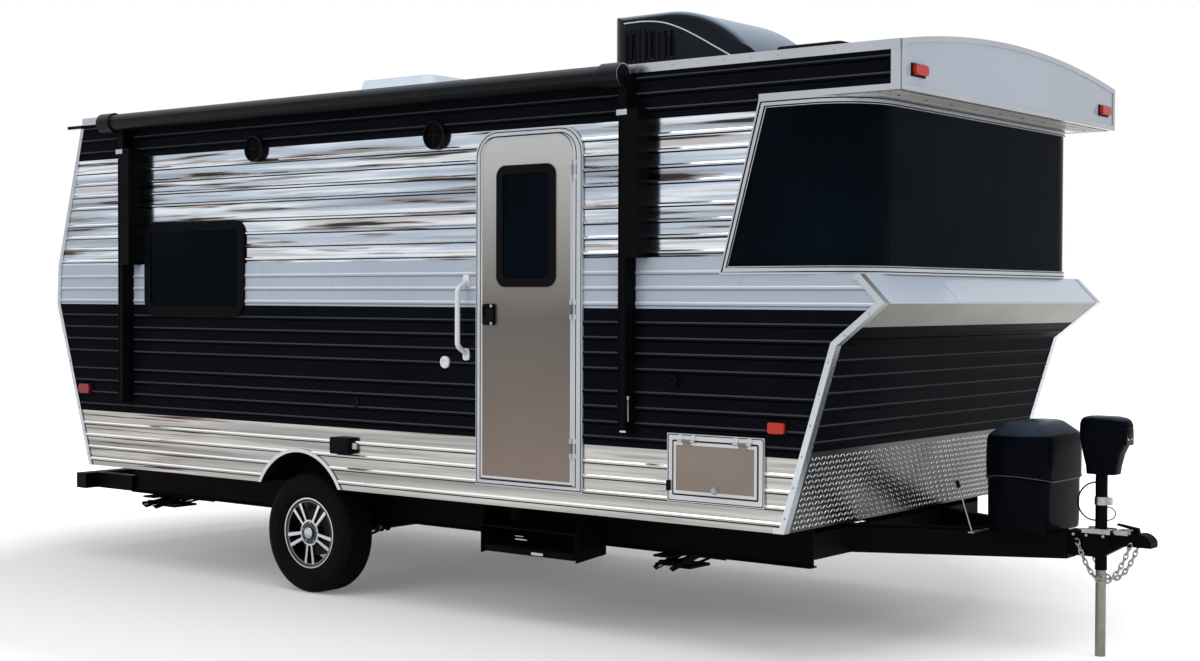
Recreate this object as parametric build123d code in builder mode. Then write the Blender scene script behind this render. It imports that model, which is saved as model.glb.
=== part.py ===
"""Travel trailer with a wrap-round front window, a single axle and a tongue jack.

Millimetres. +X points to the hitch, +Y to the street side, +Z up. Everything is drawn about
the body's middle plane, y = 0. The files have their origin on the ground in the middle of
the overall box, which the awning widens on the door side only.
"""
from build123d import *
from collections import namedtuple
from math import atan2, cos, degrees, hypot, radians, sin
import os

os.makedirs("parts", exist_ok=True)

# ---- body outline, seen from the side (x, z) -------------------------------------------
BODY_WIDTH = 2440
BODY_BASE = 629          # underside of the floor and foot of the walls
REAR_WAIST_X = -3430     # lower edge of the short upright strip
REAR_WAIST_Z = 1678
REAR_FOOT_X = REAR_WAIST_X + 339
REAR_SHOULDER_X = REAR_WAIST_X + 14  # upper edge of that strip
REAR_SHOULDER_Z = REAR_WAIST_Z + 252
REAR_TOP_X = REAR_WAIST_X + 282
SILL_X = 2625            # top of the sloping deck, at the foot of the front glass
SILL_Z = 1843
NOSE_X = SILL_X + 129    # edge between the nose's under panel and its deck
NOSE_Z = SILL_Z - 131
FRONT_KINK_X = SILL_X - 122  # where the front wall starts to overhang
FRONT_KINK_Z = SILL_Z - 331
FRONT_FOOT_X = SILL_X - 395
BROW_X = SILL_X + 203    # face of the brow over the front glass
EAVES_Z = 2885           # roof surface at the side walls
BROW_Z = EAVES_Z - 225   # underside of the brow
ROOF_CROWN = 100         # extra height of the roof half way across
ROOF_THICK = 40

# ---- walls, floor and siding ---------------------------------------------------------
WALL = 36
SKIN = 4                 # siding sheet over the walls
RIB_HEIGHT = 6
RIB_FOOT = 24
RIB_TOP = 9
RIB_PITCH = 77
FLOOR_THICK = 40
FASCIA_THICK = 20
SOFFIT_THICK = 12
NOSE_SHEET = 20
TREAD_TOP_Z = 1014       # tread plate on the front wall ends here
NOSE_UNDER_Z = NOSE_Z - 112  # ribbed siding on the front wall ends here

# ---- glass -------------------------------------------------------------------------
GLASS_THICK = 8
GLASS_FRONT_X = SILL_X + 7     # outer face of the wrap-round glass
GLASS_CORNER = 280       # its corner radius, seen from above
GLASS_REAR_LOW_X = SILL_X - 762  # foot of the slanted rear edge of the glass opening
GLASS_REAR_HIGH_X = GLASS_REAR_LOW_X + 220 # its head, under the brow
GLASS_TRIM = 38          # width of the bright frame round the glass
GLASS_TRIM_PROUD = 7

# ---- door and its frame ----------------------------------------------------------------
DOOR_LOW_X = 340         # lock side of the leaf
DOOR_WIDTH = 620
DOOR_LOW_Z = 770
DOOR_HEIGHT = 1800
DOOR_CORNER = 95
DOOR_THICK = 38
DOOR_GAP = 6             # running gap round the leaf
DOOR_PROUD = 12          # leaf and frame stand out from the siding
DOOR_FLANGE = 34         # visible frame on the lock side, at the head and at the foot
DOOR_HINGE_FLANGE = 70   # wider on the hinge side
DOOR_WINDOW_X = 656
DOOR_WINDOW_Z = 2103
DOOR_WINDOW_WIDTH = 400
DOOR_WINDOW_HEIGHT = 636
DOOR_WINDOW_CORNER = 60
HINGE_RADIUS = 7
HINGE_SEAT = 0.3         # knuckles clear the faces under them by this
HINGE_OUT = HINGE_RADIUS + HINGE_SEAT
HINGE_HALF = 25          # half length of the leaf's knuckle
HINGE_STRAP = 30
HINGE_STRAP_THICK = 3
HINGE_PIN_RADIUS = 3
HINGE_PLAY = 0.05
DOOR_HINGES_Z = (960, 1670, 2380)

# ---- baggage hatches ---------------------------------------------------------------
HATCH_X = FRONT_FOOT_X - 383
HATCH_Z = 906
HATCH_WIDTH = 486
HATCH_HEIGHT = 256
HATCH_THICK = 30
HATCH_FLANGE = 38
HATCH_GAP = 5

# ---- wheels, axle and springs ------------------------------------------------------------
WHEEL_X = -1056
TYRE_RADIUS = 350
TYRE_WIDTH = 225
TYRE_OUTER_Y = BODY_WIDTH / 2 - 20  # outer sidewall, just inside the siding
RIM_RADIUS = 206
BEAD_RADIUS = 190
SPOKE_COUNT = 5          # pairs of spokes
SPOKE_EDGES = ((30, 4, 19), (184, 21, 44))  # one spoke: outwards, near edge, far edge
SPOKE_THICK = 20
SPOKE_BEVEL = 2.5
PAD_RADIUS = 76
NUT_CIRCLE = 57.15
NUT_RECESS = 11
NUT_DEPTH = 15
CAP_RADIUS = 34
CAP_PROUD = 8
HUB_RADIUS = 58
HUB_BORE = 22
HUB_PLAY = 0.05          # radial play of the hub on its spindle
DRUM_RADIUS = 135
DRUM_FACE = 12           # thickness of the drum's closed end
DRUM_DEPTH = 70
DRUM_GAP = 6             # between the turning drum and its backing plate
HUB_LENGTH = 55
AXLE_TUBE_RADIUS = 38
ARCH_X = -1085           # centre of the wheel opening
ARCH_Z = 452
ARCH_RADIUS = 373
ARCH_TRIM = 22
WELL_DEPTH = 262         # wheel well, inwards from the siding
WELL_SHEET = 5
SPRING_HALF = 330
LEAF_WIDTH = 45
LEAF_THICK = 8

BALL_X = 3478            # centre of the hitch ball

# ---- chassis -----------------------------------------------------------------------
RAIL_Y = BODY_WIDTH / 2 - 335  # rails and springs, from the middle of the body
RAIL_HEIGHT = 203
RAIL_FLANGE = 60
RAIL_WEB = 8
RAIL_REAR_X = REAR_FOOT_X + 31
RAIL_FRONT_X = FRONT_FOOT_X - 40
MEMBER_HEIGHT = 80
MEMBER_WIDTH = 50
MEMBER_WALL = 6
MEMBER_COUNT = 6
MEMBER_REAR_X = RAIL_REAR_X + 100
MEMBER_PITCH = 772
A_BEAM_HEIGHT = 127
A_BEAM_WIDTH = 50
A_BEAM_LOW_Z = 465
A_BEAM_REAR_X = FRONT_FOOT_X - 800  # where the beams' centre lines meet the rails
A_BEAM_FRONT_X = BALL_X - 393
A_BEAM_FRONT_Y = 45
BUMPER_SIZE = 102
BUMPER_LOW_Z = 432
BUMPER_REAR_X = REAR_WAIST_X - 105
BUMPER_HALF_WIDTH = RAIL_Y + 125

# ---- coupler and tongue jack -----------------------------------------------------------
BALL_RADIUS = 29.6       # socket for a 58.7 mm ball
BALL_DEPTH = 22          # straight part of the socket
COUPLER_TIP_X = BALL_X + 57
COUPLER_LOW_Z = 560
COUPLER_TOP_Z = 606
COUPLER_HALF = 44
JACK_X = BALL_X - 206
JACK_TUBE_RADIUS = 29
JACK_LEG_RADIUS = 25
JACK_TUBE_LOW_Z = 420
JACK_HEAD_LOW_Z = 886
JACK_HEAD_HIGH_Z = 1166
JACK_FOOT_RADIUS = 32

# ---- safety chains -----------------------------------------------------------------
LINK_LENGTH = 42
LINK_WIDTH = 27
LINK_WIRE = 4            # half thickness of the wire
LINK_SLANT = 0.6         # fall of a link's shoulders over their run
LINK_PITCH = 25.6
CHAIN_REAR_X = BALL_X - 300
CHAIN_FRONT_X = BALL_X - 40
CHAIN_EYE_Z = 552        # centre of the end links
CHAIN_SAG = 180
CHAIN_STEPS = 2000
EYE_RADIUS = 4.5         # pins on the coupler's flanks that carry the end links
EYE_OUT = 16             # the chains hang this far from the flanks
EYE_HEAD = 9
EYE_END = 28             # length of a pin

# ---- awning ------------------------------------------------------------------------
AWNING_TUBE_RADIUS = 50
AWNING_CAP_RADIUS = 62
AWNING_CAP_LENGTH = 120
AWNING_TUBE_Z = EAVES_Z - 59
AWNING_OUT = 92          # tube's axis, outwards from the siding
AWNING_REAR_X = -2690
AWNING_FRONT_X = 1230
ARM_WIDTH = 48
ARM_DEPTH = 84
ARM_LOW_Z = 1060
ARM_HIGH_Z = EAVES_Z - 225
RAFTER_WIDTH = 76
RAFTER_DEPTH = 98
RAFTER_LOW_Z = 1928

# ---- named tables --------------------------------------------------------------------
Sheet = namedtuple("Sheet", "band low high first_rib ribs")
SHEETS = [
    Sheet("skirt", BODY_BASE, 985, 670, 4),
    Sheet("black", 985, 1330, 1025, 4),
    Sheet("black", 1330, REAR_WAIST_Z, 1371, 4),
    Sheet("white", REAR_WAIST_Z, REAR_SHOULDER_Z, 1700, 3),
    Sheet("mirror", REAR_SHOULDER_Z, 2275, 1954, 4),
    Sheet("mirror", 2275, 2610, 2297, 4),
    Sheet("roof", 2610, EAVES_Z - ROOF_THICK, 2654, 3),
]
Window = namedtuple("Window", "side x z width height corner")
WINDOWS = [
    Window("right", -2032, 1900, 945, 580, 95),
    Window("left", -2032, 1900, 945, 580, 95),
    Window("left", 420, 2010, 760, 480, 80),
]
WINDOW_FLANGE = 30       # black frame round each cut-out
WINDOW_PROUD = 14
PANE_THICK = 6
Side = namedtuple("Side", "name sign")
SIDES = [Side("right", -1), Side("left", 1)]

# ---- fittings on the walls ---------------------------------------------------------
LOCK_X = 405
LOCK_Z = 1640
LOCK_WIDTH = 80
LOCK_HEIGHT = 112
LOCK_PROUD = 16
HANDLE_X = 232
HANDLE_LOW_Z = 1425
HANDLE_HIGH_Z = 1820
HANDLE_OUT = 75
HANDLE_RADIUS = 14
HANDLE_FOOT_WIDTH = 44
HANDLE_FOOT_HEIGHT = 64
Round = namedtuple("Round", "side x z radius proud dish")
ROUNDS = [
    Round("right", -1456, 2607, 78, 30, 16),
    Round("right", 10, 2607, 78, 30, 16),
    Round("right", 78, 1379, 32, 12, 4),
    Round("right", -610, 1136, 26, 10, 3),
    Round("right", 1611, 1329, 22, 34, 10),
    Round("left", -900, 1136, 55, 14, 4),
    Round("left", 900, 1136, 40, 14, 4),
]
DISH_RIM = 10            # width of the rim left round a fitting's dished face
OUTLET_X = -706
OUTLET_Z = 885
OUTLET_WIDTH = 150
OUTLET_HEIGHT = 95
OUTLET_PROUD = 48
Lamp = namedtuple("Lamp", "x z width height corner")
MARKER_AMBER = Lamp(FRONT_FOOT_X - 33, 1124, 90, 52, 12)
MARKER_RED = Lamp(REAR_WAIST_X + 304, 1127, 110, 60, 22)
LAMP_PROUD = 26
BROW_LAMP_Y = 1065
BROW_LAMP_Z = 2757
BROW_LAMP_WIDTH = 120
BROW_LAMP_HEIGHT = 46
RearLamp = namedtuple("RearLamp", "y z width height")
REAR_LAMPS = [
    RearLamp(-1010, 1130, 150, 220), RearLamp(1010, 1130, 150, 220),
    RearLamp(-1010, 2771, 110, 36), RearLamp(-160, 2771, 110, 36), RearLamp(0, 2771, 110, 36),
    RearLamp(160, 2771, 110, 36), RearLamp(1010, 2771, 110, 36),
]
REAR_LAMP_CORNER = 14
PLATE_Y = 780            # licence plate bracket on the rear
PLATE_Z = 860
PLATE_WIDTH = 310
PLATE_HEIGHT = 160
EDGE = 28                # width of the bright corner mouldings
EDGE_PROUD = 7
EDGE_LEG = 4             # moulding's thickness on the front and rear faces
EAVE_RAIL = 45           # height of the bright rail along the roof's edge
EAVE_RAIL_PROUD = 12
FASCIA_TRIM = 26         # bright rail round the brow's face
FASCIA_TRIM_PROUD = 6
SPOUT_REAR_X = REAR_TOP_X - 142  # gutter spouts at the rear corners
SPOUT_HEIGHT = 19
SPOUT_DEPTH = 18
Arm = namedtuple("Arm", "low_x rafter_x")
ARMS = [Arm(-2676, -2619), Arm(1314, 1363)]

# ---- step, stands, tongue cover, roof gear ----------------------------------------------
STEP_X = 618
STEP_WIDTH = 660
STEP_OUT_Y = BODY_WIDTH / 2 - 50
STEP_HANGER_Y = STEP_OUT_Y - 240
STEP_IN_Y = STEP_OUT_Y - 320
STEP_TOP_Z = 505
STEP_LOW_Z = 362
STEP_PLATE = 6
STEP_ARM_OUT_Y = STEP_OUT_Y - 60  # fixed pivots of the swing arms
STEP_ARM_PIVOT_Z = 462
STEP_ARM_LENGTH = 170
STEP_ARM_DROP = 13.6     # degrees below level when folded
STEP_PIN_RADIUS = 6
STEP_PIN_PLAY = 0.05
STEP_GAP = 6             # running gap beside the arms and the tread
ARM_THICK = 6
TREAD_DEPTH = 250
TREAD_HEIGHT = 32
Stand = namedtuple("Stand", "x sign")
STANDS = [Stand(x, side.sign) for x in (RAIL_REAR_X + 280, A_BEAM_REAR_X - 65) for side in SIDES]
STAND_Y = RAIL_Y - 150   # middle of a stand
STAND_WIDTH = 110
STAND_PLATE = 12
STAND_HEIGHT = 62        # folded links, between the plate and the foot
STAND_REACH = 260        # from the middle to a nut on the screw
STAND_BAR = 15
STAND_BAR_THICK = 6
STAND_SCREW_RADIUS = 9
STAND_FOOT = 14
COVER_X = BALL_X - 553
COVER_DEPTH = 340
COVER_WIDTH = 610
COVER_LOW_Z = A_BEAM_LOW_Z + A_BEAM_HEIGHT
COVER_SEAM_Z = 830       # foot of the lid's skirt
COVER_LIP = 7            # the lid stands out from the tub
COVER_HIGH_Z = 1128
COVER_CROWN = 42         # raised middle of the lid
AC_REAR_X = 490
AC_FRONT_X = 1500
AC_HALF_WIDTH = 345
AC_HEIGHT = 320          # above the roof's crown
AC_CORNER = 150
AC_EDGE = 38             # rounding of its upper edges
Louvre = namedtuple("Louvre", "pitch width height depth count")
AC_LOUVRES = Louvre(44, 20, 150, 12, 8)
VENT_X = 1760
VENT_Y = -60
VENT_SIZE = 380
VENT_WALL = 20
VENT_RISE = 45           # top of the vent's frame above the roof's crown

LID_THICK = 34
LID_OVERHANG = 15
LID_PIN_OUT = 8          # hinge line behind the lid's edge
LID_PIN_UP = 5
LID_PIN_RADIUS = 3
LID_LUG = 6
LID_LUG_Y = 150
SKYLIGHT_X = -1150
SKYLIGHT_Y = -200

HALF = BODY_WIDTH / 2
HALF_RIM = 0.36 * TYRE_WIDTH
WHEEL_FACE_Y = TYRE_OUTER_Y - TYRE_WIDTH / 2 + HALF_RIM + 2
ROOF_TOP_Z = EAVES_Z + ROOF_CROWN
AC_BASE_Z = EAVES_Z + 60
AC_TOP_Z = ROOF_TOP_Z + AC_HEIGHT
BODY_MID_Y = (AWNING_OUT + AWNING_CAP_RADIUS - LAMP_PROUD) / 2
ARM_INSET = STEP_PLATE + STEP_GAP
TREAD_WIDTH = STEP_WIDTH - 2 * (ARM_INSET + ARM_THICK + STEP_GAP)
WALL_OUT = HALF - SKIN
WALL_IN = WALL_OUT - WALL
WALL_TOP = EAVES_Z - ROOF_THICK
VENT_REAR_X = VENT_X - VENT_SIZE / 2
LID_LOW_Z = ROOF_TOP_Z + VENT_RISE + HINGE_SEAT
LID_PIN_X = VENT_REAR_X - LID_OVERHANG - LID_PIN_OUT
LID_PIN_Z = LID_LOW_Z + LID_PIN_UP
CUT = 160                # depth that a cutter reaches each side of the siding
FAR = 6000

REAR_LINE = [(REAR_FOOT_X, BODY_BASE), (REAR_WAIST_X, REAR_WAIST_Z),
             (REAR_SHOULDER_X, REAR_SHOULDER_Z), (REAR_TOP_X, EAVES_Z)]
FRONT_LINE = [(FRONT_FOOT_X, BODY_BASE), (FRONT_KINK_X, FRONT_KINK_Z), (NOSE_X, NOSE_Z)]


def x_on(line, z):
    """x at height z on a line of (x, z) corners, which runs on past its ends."""
    for (x0, z0), (x1, z1) in zip(line, line[1:]):
        if z <= z1 or (x1, z1) == line[-1]:
            return x0 + (x1 - x0) * (z - z0) / (z1 - z0)


def rear_x(z):
    """x of the rear outline at height z."""
    return x_on(REAR_LINE, z)


def front_x(z):
    """x of the front outline at height z, up to the nose."""
    return x_on(FRONT_LINE, z)


def side_outline(back=0, front=0):
    """Corners of a side wall, its rear edge set back and its front edge set back."""
    corners = [(x + back, z) for x, z in REAR_LINE[:-1]]
    corners.append((rear_x(WALL_TOP) + back, WALL_TOP))
    corners += [(BROW_X - FASCIA_THICK, WALL_TOP), (BROW_X - FASCIA_THICK, BROW_Z)]
    corners += [(GLASS_REAR_HIGH_X, BROW_Z), (GLASS_REAR_LOW_X, SILL_Z), (SILL_X - front, SILL_Z)]
    corners += [(x - front, z) for x, z in reversed(FRONT_LINE)]
    return corners


def side_plane(side, inwards=0):
    """Upright plane on one side's siding, local x along +X and local y up."""
    return Plane(origin=(0, side.sign * (HALF - inwards), 0), x_dir=(1, 0, 0), z_dir=(0, -1, 0))


def arch_outline():
    """Opening over a wheel, closed below the body."""
    with BuildSketch() as arch:
        with Locations((ARCH_X, ARCH_Z)):
            Circle(ARCH_RADIUS)
        with Locations((ARCH_X, BODY_BASE - ARCH_RADIUS)):
            Rectangle(4 * ARCH_RADIUS, 2 * ARCH_RADIUS, mode=Mode.SUBTRACT)
        with Locations((ARCH_X, BODY_BASE)):
            Rectangle(2 * (ARCH_RADIUS ** 2 - (BODY_BASE - ARCH_Z) ** 2) ** 0.5, 1)
    return arch.sketch


def rounded_door(width, height, corner, low_x, low_z):
    """Upright panel with its two top corners rounded."""
    with BuildSketch() as door:
        with Locations((low_x, low_z)):
            Rectangle(width, height, align=(Align.MIN, Align.MIN))
        fillet(door.vertices().group_by(Axis.Y)[-1], corner)
    return door.sketch


def door_frame_outline(inset=0):
    """Outer edge of the door frame."""
    return rounded_door(DOOR_WIDTH + DOOR_FLANGE + DOOR_HINGE_FLANGE - 2 * inset,
                        DOOR_HEIGHT + 2 * DOOR_FLANGE - 2 * inset,
                        DOOR_CORNER + DOOR_FLANGE - inset,
                        DOOR_LOW_X - DOOR_FLANGE + inset, DOOR_LOW_Z - DOOR_FLANGE + inset)


def side_openings(side, inset):
    """Everything cut through one side, each cut-out made smaller by inset all round."""
    with BuildSketch(side_plane(side)) as cuts:
        for window in WINDOWS:
            if window.side == side.name:
                with Locations((window.x, window.z)):
                    RectangleRounded(window.width - 2 * inset, window.height - 2 * inset,
                                     window.corner - inset)
        with Locations((HATCH_X, HATCH_Z)):
            Rectangle(HATCH_WIDTH + 2 * (HATCH_FLANGE - inset),
                      HATCH_HEIGHT + 2 * (HATCH_FLANGE - inset))
        if side.name == "right":
            add(door_frame_outline(inset))
        add(arch_outline())
    return cuts.sketch


def edge_moulding():
    """Bright mouldings on a side: rear edge, front edge, brow."""
    with BuildSketch() as strips:
        Polygon(*side_outline(), align=None)
        offset(amount=-EDGE, kind=Kind.INTERSECTION, mode=Mode.SUBTRACT)
        Polygon((0, BODY_BASE), (FAR, BODY_BASE), (FAR, SILL_Z), (SILL_X - EDGE, SILL_Z),
                (SILL_X - EDGE, SILL_Z - EDGE), (0, SILL_Z - EDGE), align=None,
                mode=Mode.INTERSECT)
        with Locations((0, BODY_BASE)):
            Rectangle(2 * (FRONT_FOOT_X - 2 * EDGE), 4 * EDGE, mode=Mode.SUBTRACT)
        rear = [(rear_x(z), z) for z in (BODY_BASE, REAR_WAIST_Z, REAR_SHOULDER_Z, WALL_TOP)]
        Polygon(*rear, *[(x + EDGE, z) for x, z in reversed(rear)], align=None)
        with Locations((BROW_X, BROW_Z)):
            Rectangle(EDGE + FASCIA_THICK, WALL_TOP - BROW_Z, align=(Align.MAX, Align.MIN))
            Rectangle(BROW_X - GLASS_REAR_HIGH_X, EDGE, align=(Align.MAX, Align.MIN))
    return strips.sketch


def arch_moulding():
    """Bright lip round a wheel opening."""
    with BuildSketch() as lip:
        with Locations((ARCH_X, ARCH_Z)):
            Circle(ARCH_RADIUS + ARCH_TRIM)
            Circle(ARCH_RADIUS, mode=Mode.SUBTRACT)
        with Locations((ARCH_X, BODY_BASE - ARCH_RADIUS)):
            Rectangle(4 * ARCH_RADIUS, 2 * ARCH_RADIUS, mode=Mode.SUBTRACT)
    return lip.sketch


def marker_outline(lamp):
    """Outline of one side marker lamp."""
    with BuildSketch() as outline:
        with Locations((lamp.x, lamp.z)):
            RectangleRounded(lamp.width, lamp.height, lamp.corner)
    return outline.sketch


def footprints(side):
    """Where fittings sit flat on one side's siding, so its ribs stop short of them."""
    with BuildSketch(side_plane(side)) as flats:
        add(edge_moulding())
        add(arch_moulding())
        for lamp in (MARKER_AMBER, MARKER_RED):
            add(marker_outline(lamp))
        for fitting in ROUNDS:
            if fitting.side == side.name:
                with Locations((fitting.x, fitting.z)):
                    Circle(fitting.radius)
        if side.name == "right":
            for arm in ARMS:
                with Locations((arm.low_x, ARM_LOW_Z)):
                    Rectangle(ARM_WIDTH, WALL_TOP - ARM_LOW_Z, align=(Align.MIN, Align.MIN))
                with Locations((arm.low_x + ARM_WIDTH, RAFTER_LOW_Z)):
                    Rectangle(RAFTER_WIDTH, ARM_HIGH_Z - RAFTER_LOW_Z, align=(Align.MIN, Align.MIN))
            for foot_z in (HANDLE_LOW_Z, HANDLE_HIGH_Z):
                with Locations((HANDLE_X, foot_z)):
                    RectangleRounded(HANDLE_FOOT_WIDTH, HANDLE_FOOT_HEIGHT, HANDLE_RADIUS)
            with Locations((OUTLET_X, OUTLET_Z)):
                RectangleRounded(OUTLET_WIDTH, OUTLET_HEIGHT, 12)
    return flats.sketch


def rear_fitting(y, z, width, height, corner):
    """Rounded fitting on the sloping rear, level with its siding and lamp-deep."""
    with BuildPart() as fitting:
        with BuildSketch(Plane.YZ.offset(REAR_WAIST_X - FASCIA_THICK)):
            with Locations((y, z)):
                RectangleRounded(width, height, corner)
        extrude(amount=FAR)
        with BuildSketch(Plane.XZ):
            outer = [(x - LAMP_PROUD, level) for x, level in REAR_LINE]
            Polygon(*outer, *reversed(REAR_LINE), align=None)
        extrude(amount=FAR, both=True, mode=Mode.INTERSECT)
    return fitting.part


def rear_lamps():
    """All lamps on the rear: two tail lamps and a row of clearance lamps."""
    with BuildPart() as lamps:
        for lamp in REAR_LAMPS:
            add(rear_fitting(*lamp, REAR_LAMP_CORNER))
    return lamps.part


def ribbed_outline(face, low, high, first_rib, ribs, outward):
    """Closed outline of a ribbed sheet whose outer surface lies at face(z)."""
    points = [(face(low), low)]
    for index in range(ribs):
        rib_z = first_rib + index * RIB_PITCH
        for offset, height in ((-RIB_FOOT / 2, 0), (-RIB_TOP / 2, RIB_HEIGHT),
                               (RIB_TOP / 2, RIB_HEIGHT), (RIB_FOOT / 2, 0)):
            points.append((face(rib_z + offset) + outward * height, rib_z + offset))
    points += [(face(high), high), (face(high) - outward * SKIN, high)]
    points.append((face(low) - outward * SKIN, low))
    return points


def hanging_links():
    """x, z and slope of each chain link, a pitch apart on a curve between the chain's ends."""
    span, places = CHAIN_FRONT_X - CHAIN_REAR_X, []
    for step in range(CHAIN_STEPS + 1):
        share = step / CHAIN_STEPS
        x, z = CHAIN_REAR_X + share * span, CHAIN_EYE_Z - 4 * CHAIN_SAG * share * (1 - share)
        if not places or hypot(x - places[-1][0], z - places[-1][1]) >= LINK_PITCH:
            places.append((x, z, atan2(-4 * CHAIN_SAG * (1 - 2 * share), span)))
    return places


def write(part, name):
    """Label one sub-part and write its file, moved to the overall box's middle."""
    placed = part.moved(Location((0, BODY_MID_Y, 0)))
    placed.label = name
    export_step(placed, f"parts/{name}.step")


# ======================================================================================
# Body shell
# ======================================================================================
with BuildPart() as floor_panel:
    with BuildSketch(Plane.XY.offset(BODY_BASE)):
        floor_rear = rear_x(BODY_BASE) + SKIN + WALL
        floor_front = front_x(BODY_BASE) - SKIN - WALL
        with Locations(((floor_rear + floor_front) / 2, 0)):
            Rectangle(floor_front - floor_rear, 2 * WALL_IN)
        for side in SIDES:
            with Locations((ARCH_X, side.sign * HALF)):
                Rectangle(2 * (ARCH_RADIUS + WELL_SHEET), 2 * WELL_DEPTH, mode=Mode.SUBTRACT)
    extrude(amount=FLOOR_THICK)
write(floor_panel.part, "floor_panel")

for side in SIDES:
    with BuildPart() as wall:
        with BuildSketch(side_plane(side, inwards=SKIN)):
            Polygon(*side_outline(back=SKIN, front=SKIN), align=None)
        extrude(amount=WALL * side.sign)
        extrude(side_openings(side, WINDOW_FLANGE), amount=CUT, both=True, mode=Mode.SUBTRACT)
    write(wall.part, f"wall_{side.name}")

# section across the body, under the crowned roof
with BuildSketch(Plane.YZ) as under_roof:
    with BuildLine():
        Polyline((-HALF, WALL_TOP), (-HALF, 0), (HALF, 0), (HALF, WALL_TOP))
        ThreePointArc((HALF, WALL_TOP), (0, WALL_TOP + ROOF_CROWN), (-HALF, WALL_TOP))
    make_face()

with BuildPart() as wall_rear:
    with BuildSketch(Plane.XZ):
        outer = [(x + SKIN, z) for x, z in REAR_LINE]
        inner = [(x + WALL, z) for x, z in reversed(outer)]
        top = [(outer[-1][0] + 40, EAVES_Z + ROOF_CROWN), (inner[0][0] + 40, EAVES_Z + ROOF_CROWN)]
        Polygon(*outer, *top, *inner, align=None)
    extrude(amount=WALL_IN, both=True)
    extrude(under_roof.sketch, amount=FAR, both=True, mode=Mode.INTERSECT)
write(wall_rear.part, "wall_rear")

with BuildPart() as wall_front:
    with BuildSketch(Plane.XZ):
        outer = [(FRONT_FOOT_X - SKIN, BODY_BASE), (FRONT_KINK_X - SKIN, FRONT_KINK_Z),
                 (front_x(NOSE_UNDER_Z) - SKIN, NOSE_UNDER_Z)]
        inner = [(x - WALL, z) for x, z in reversed(outer)]
        Polygon(*outer, *inner, align=None)
    extrude(amount=WALL_IN, both=True)
write(wall_front.part, "wall_front")

# nose: sloping under panel, sloping deck and the sill that carries the glass
with BuildPart() as nose_cap:
    with BuildSketch(Plane.XZ):
        with BuildLine():
            Polyline((front_x(NOSE_UNDER_Z), NOSE_UNDER_Z), (NOSE_X, NOSE_Z), (SILL_X, SILL_Z),
                     (GLASS_FRONT_X - 2 * GLASS_CORNER, SILL_Z),
                     (GLASS_FRONT_X - 2 * GLASS_CORNER, SILL_Z - NOSE_SHEET),
                     (SILL_X - NOSE_SHEET / 2, SILL_Z - NOSE_SHEET),
                     (NOSE_X - 1.5 * NOSE_SHEET, NOSE_Z),
                     (front_x(NOSE_UNDER_Z) - 1.5 * NOSE_SHEET, NOSE_UNDER_Z), close=True)
        make_face()
    extrude(amount=WALL_IN, both=True)
write(nose_cap.part, "nose_cap")

with BuildPart() as roof_panel:
    with BuildSketch(Plane.YZ.offset(REAR_TOP_X)):
        with BuildLine():
            ThreePointArc((-HALF, EAVES_Z), (0, EAVES_Z + ROOF_CROWN), (HALF, EAVES_Z))
            Line((HALF, EAVES_Z), (HALF, WALL_TOP))
            ThreePointArc((HALF, WALL_TOP), (0, WALL_TOP + ROOF_CROWN), (-HALF, WALL_TOP))
            Line((-HALF, WALL_TOP), (-HALF, EAVES_Z))
        make_face()
    extrude(amount=BROW_X - FASCIA_THICK - REAR_TOP_X)
    with BuildSketch(Plane.XY.offset(EAVES_Z)):
        with Locations((VENT_X, VENT_Y)):
            Rectangle(VENT_SIZE - 2 * VENT_WALL, VENT_SIZE - 2 * VENT_WALL)
    extrude(amount=2 * ROOF_CROWN, both=True, mode=Mode.SUBTRACT)
write(roof_panel.part, "roof_panel")

# brow over the front glass: fascia with a crowned top, and the soffit behind it
with BuildPart() as front_brow:
    with BuildSketch(Plane.YZ.offset(BROW_X - FASCIA_THICK)):
        with BuildLine():
            Polyline((-HALF, EAVES_Z), (-HALF, BROW_Z), (HALF, BROW_Z), (HALF, EAVES_Z))
            ThreePointArc((HALF, EAVES_Z), (0, EAVES_Z + ROOF_CROWN), (-HALF, EAVES_Z))
        make_face()
    extrude(amount=FASCIA_THICK)
    with BuildSketch(Plane.XY.offset(BROW_Z)):
        soffit_length = BROW_X - FASCIA_THICK - GLASS_REAR_HIGH_X
        with Locations((BROW_X - FASCIA_THICK - soffit_length / 2, 0)):
            Rectangle(soffit_length, 2 * WALL_IN)
    extrude(amount=SOFFIT_THICK)
write(front_brow.part, "front_brow")

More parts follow.
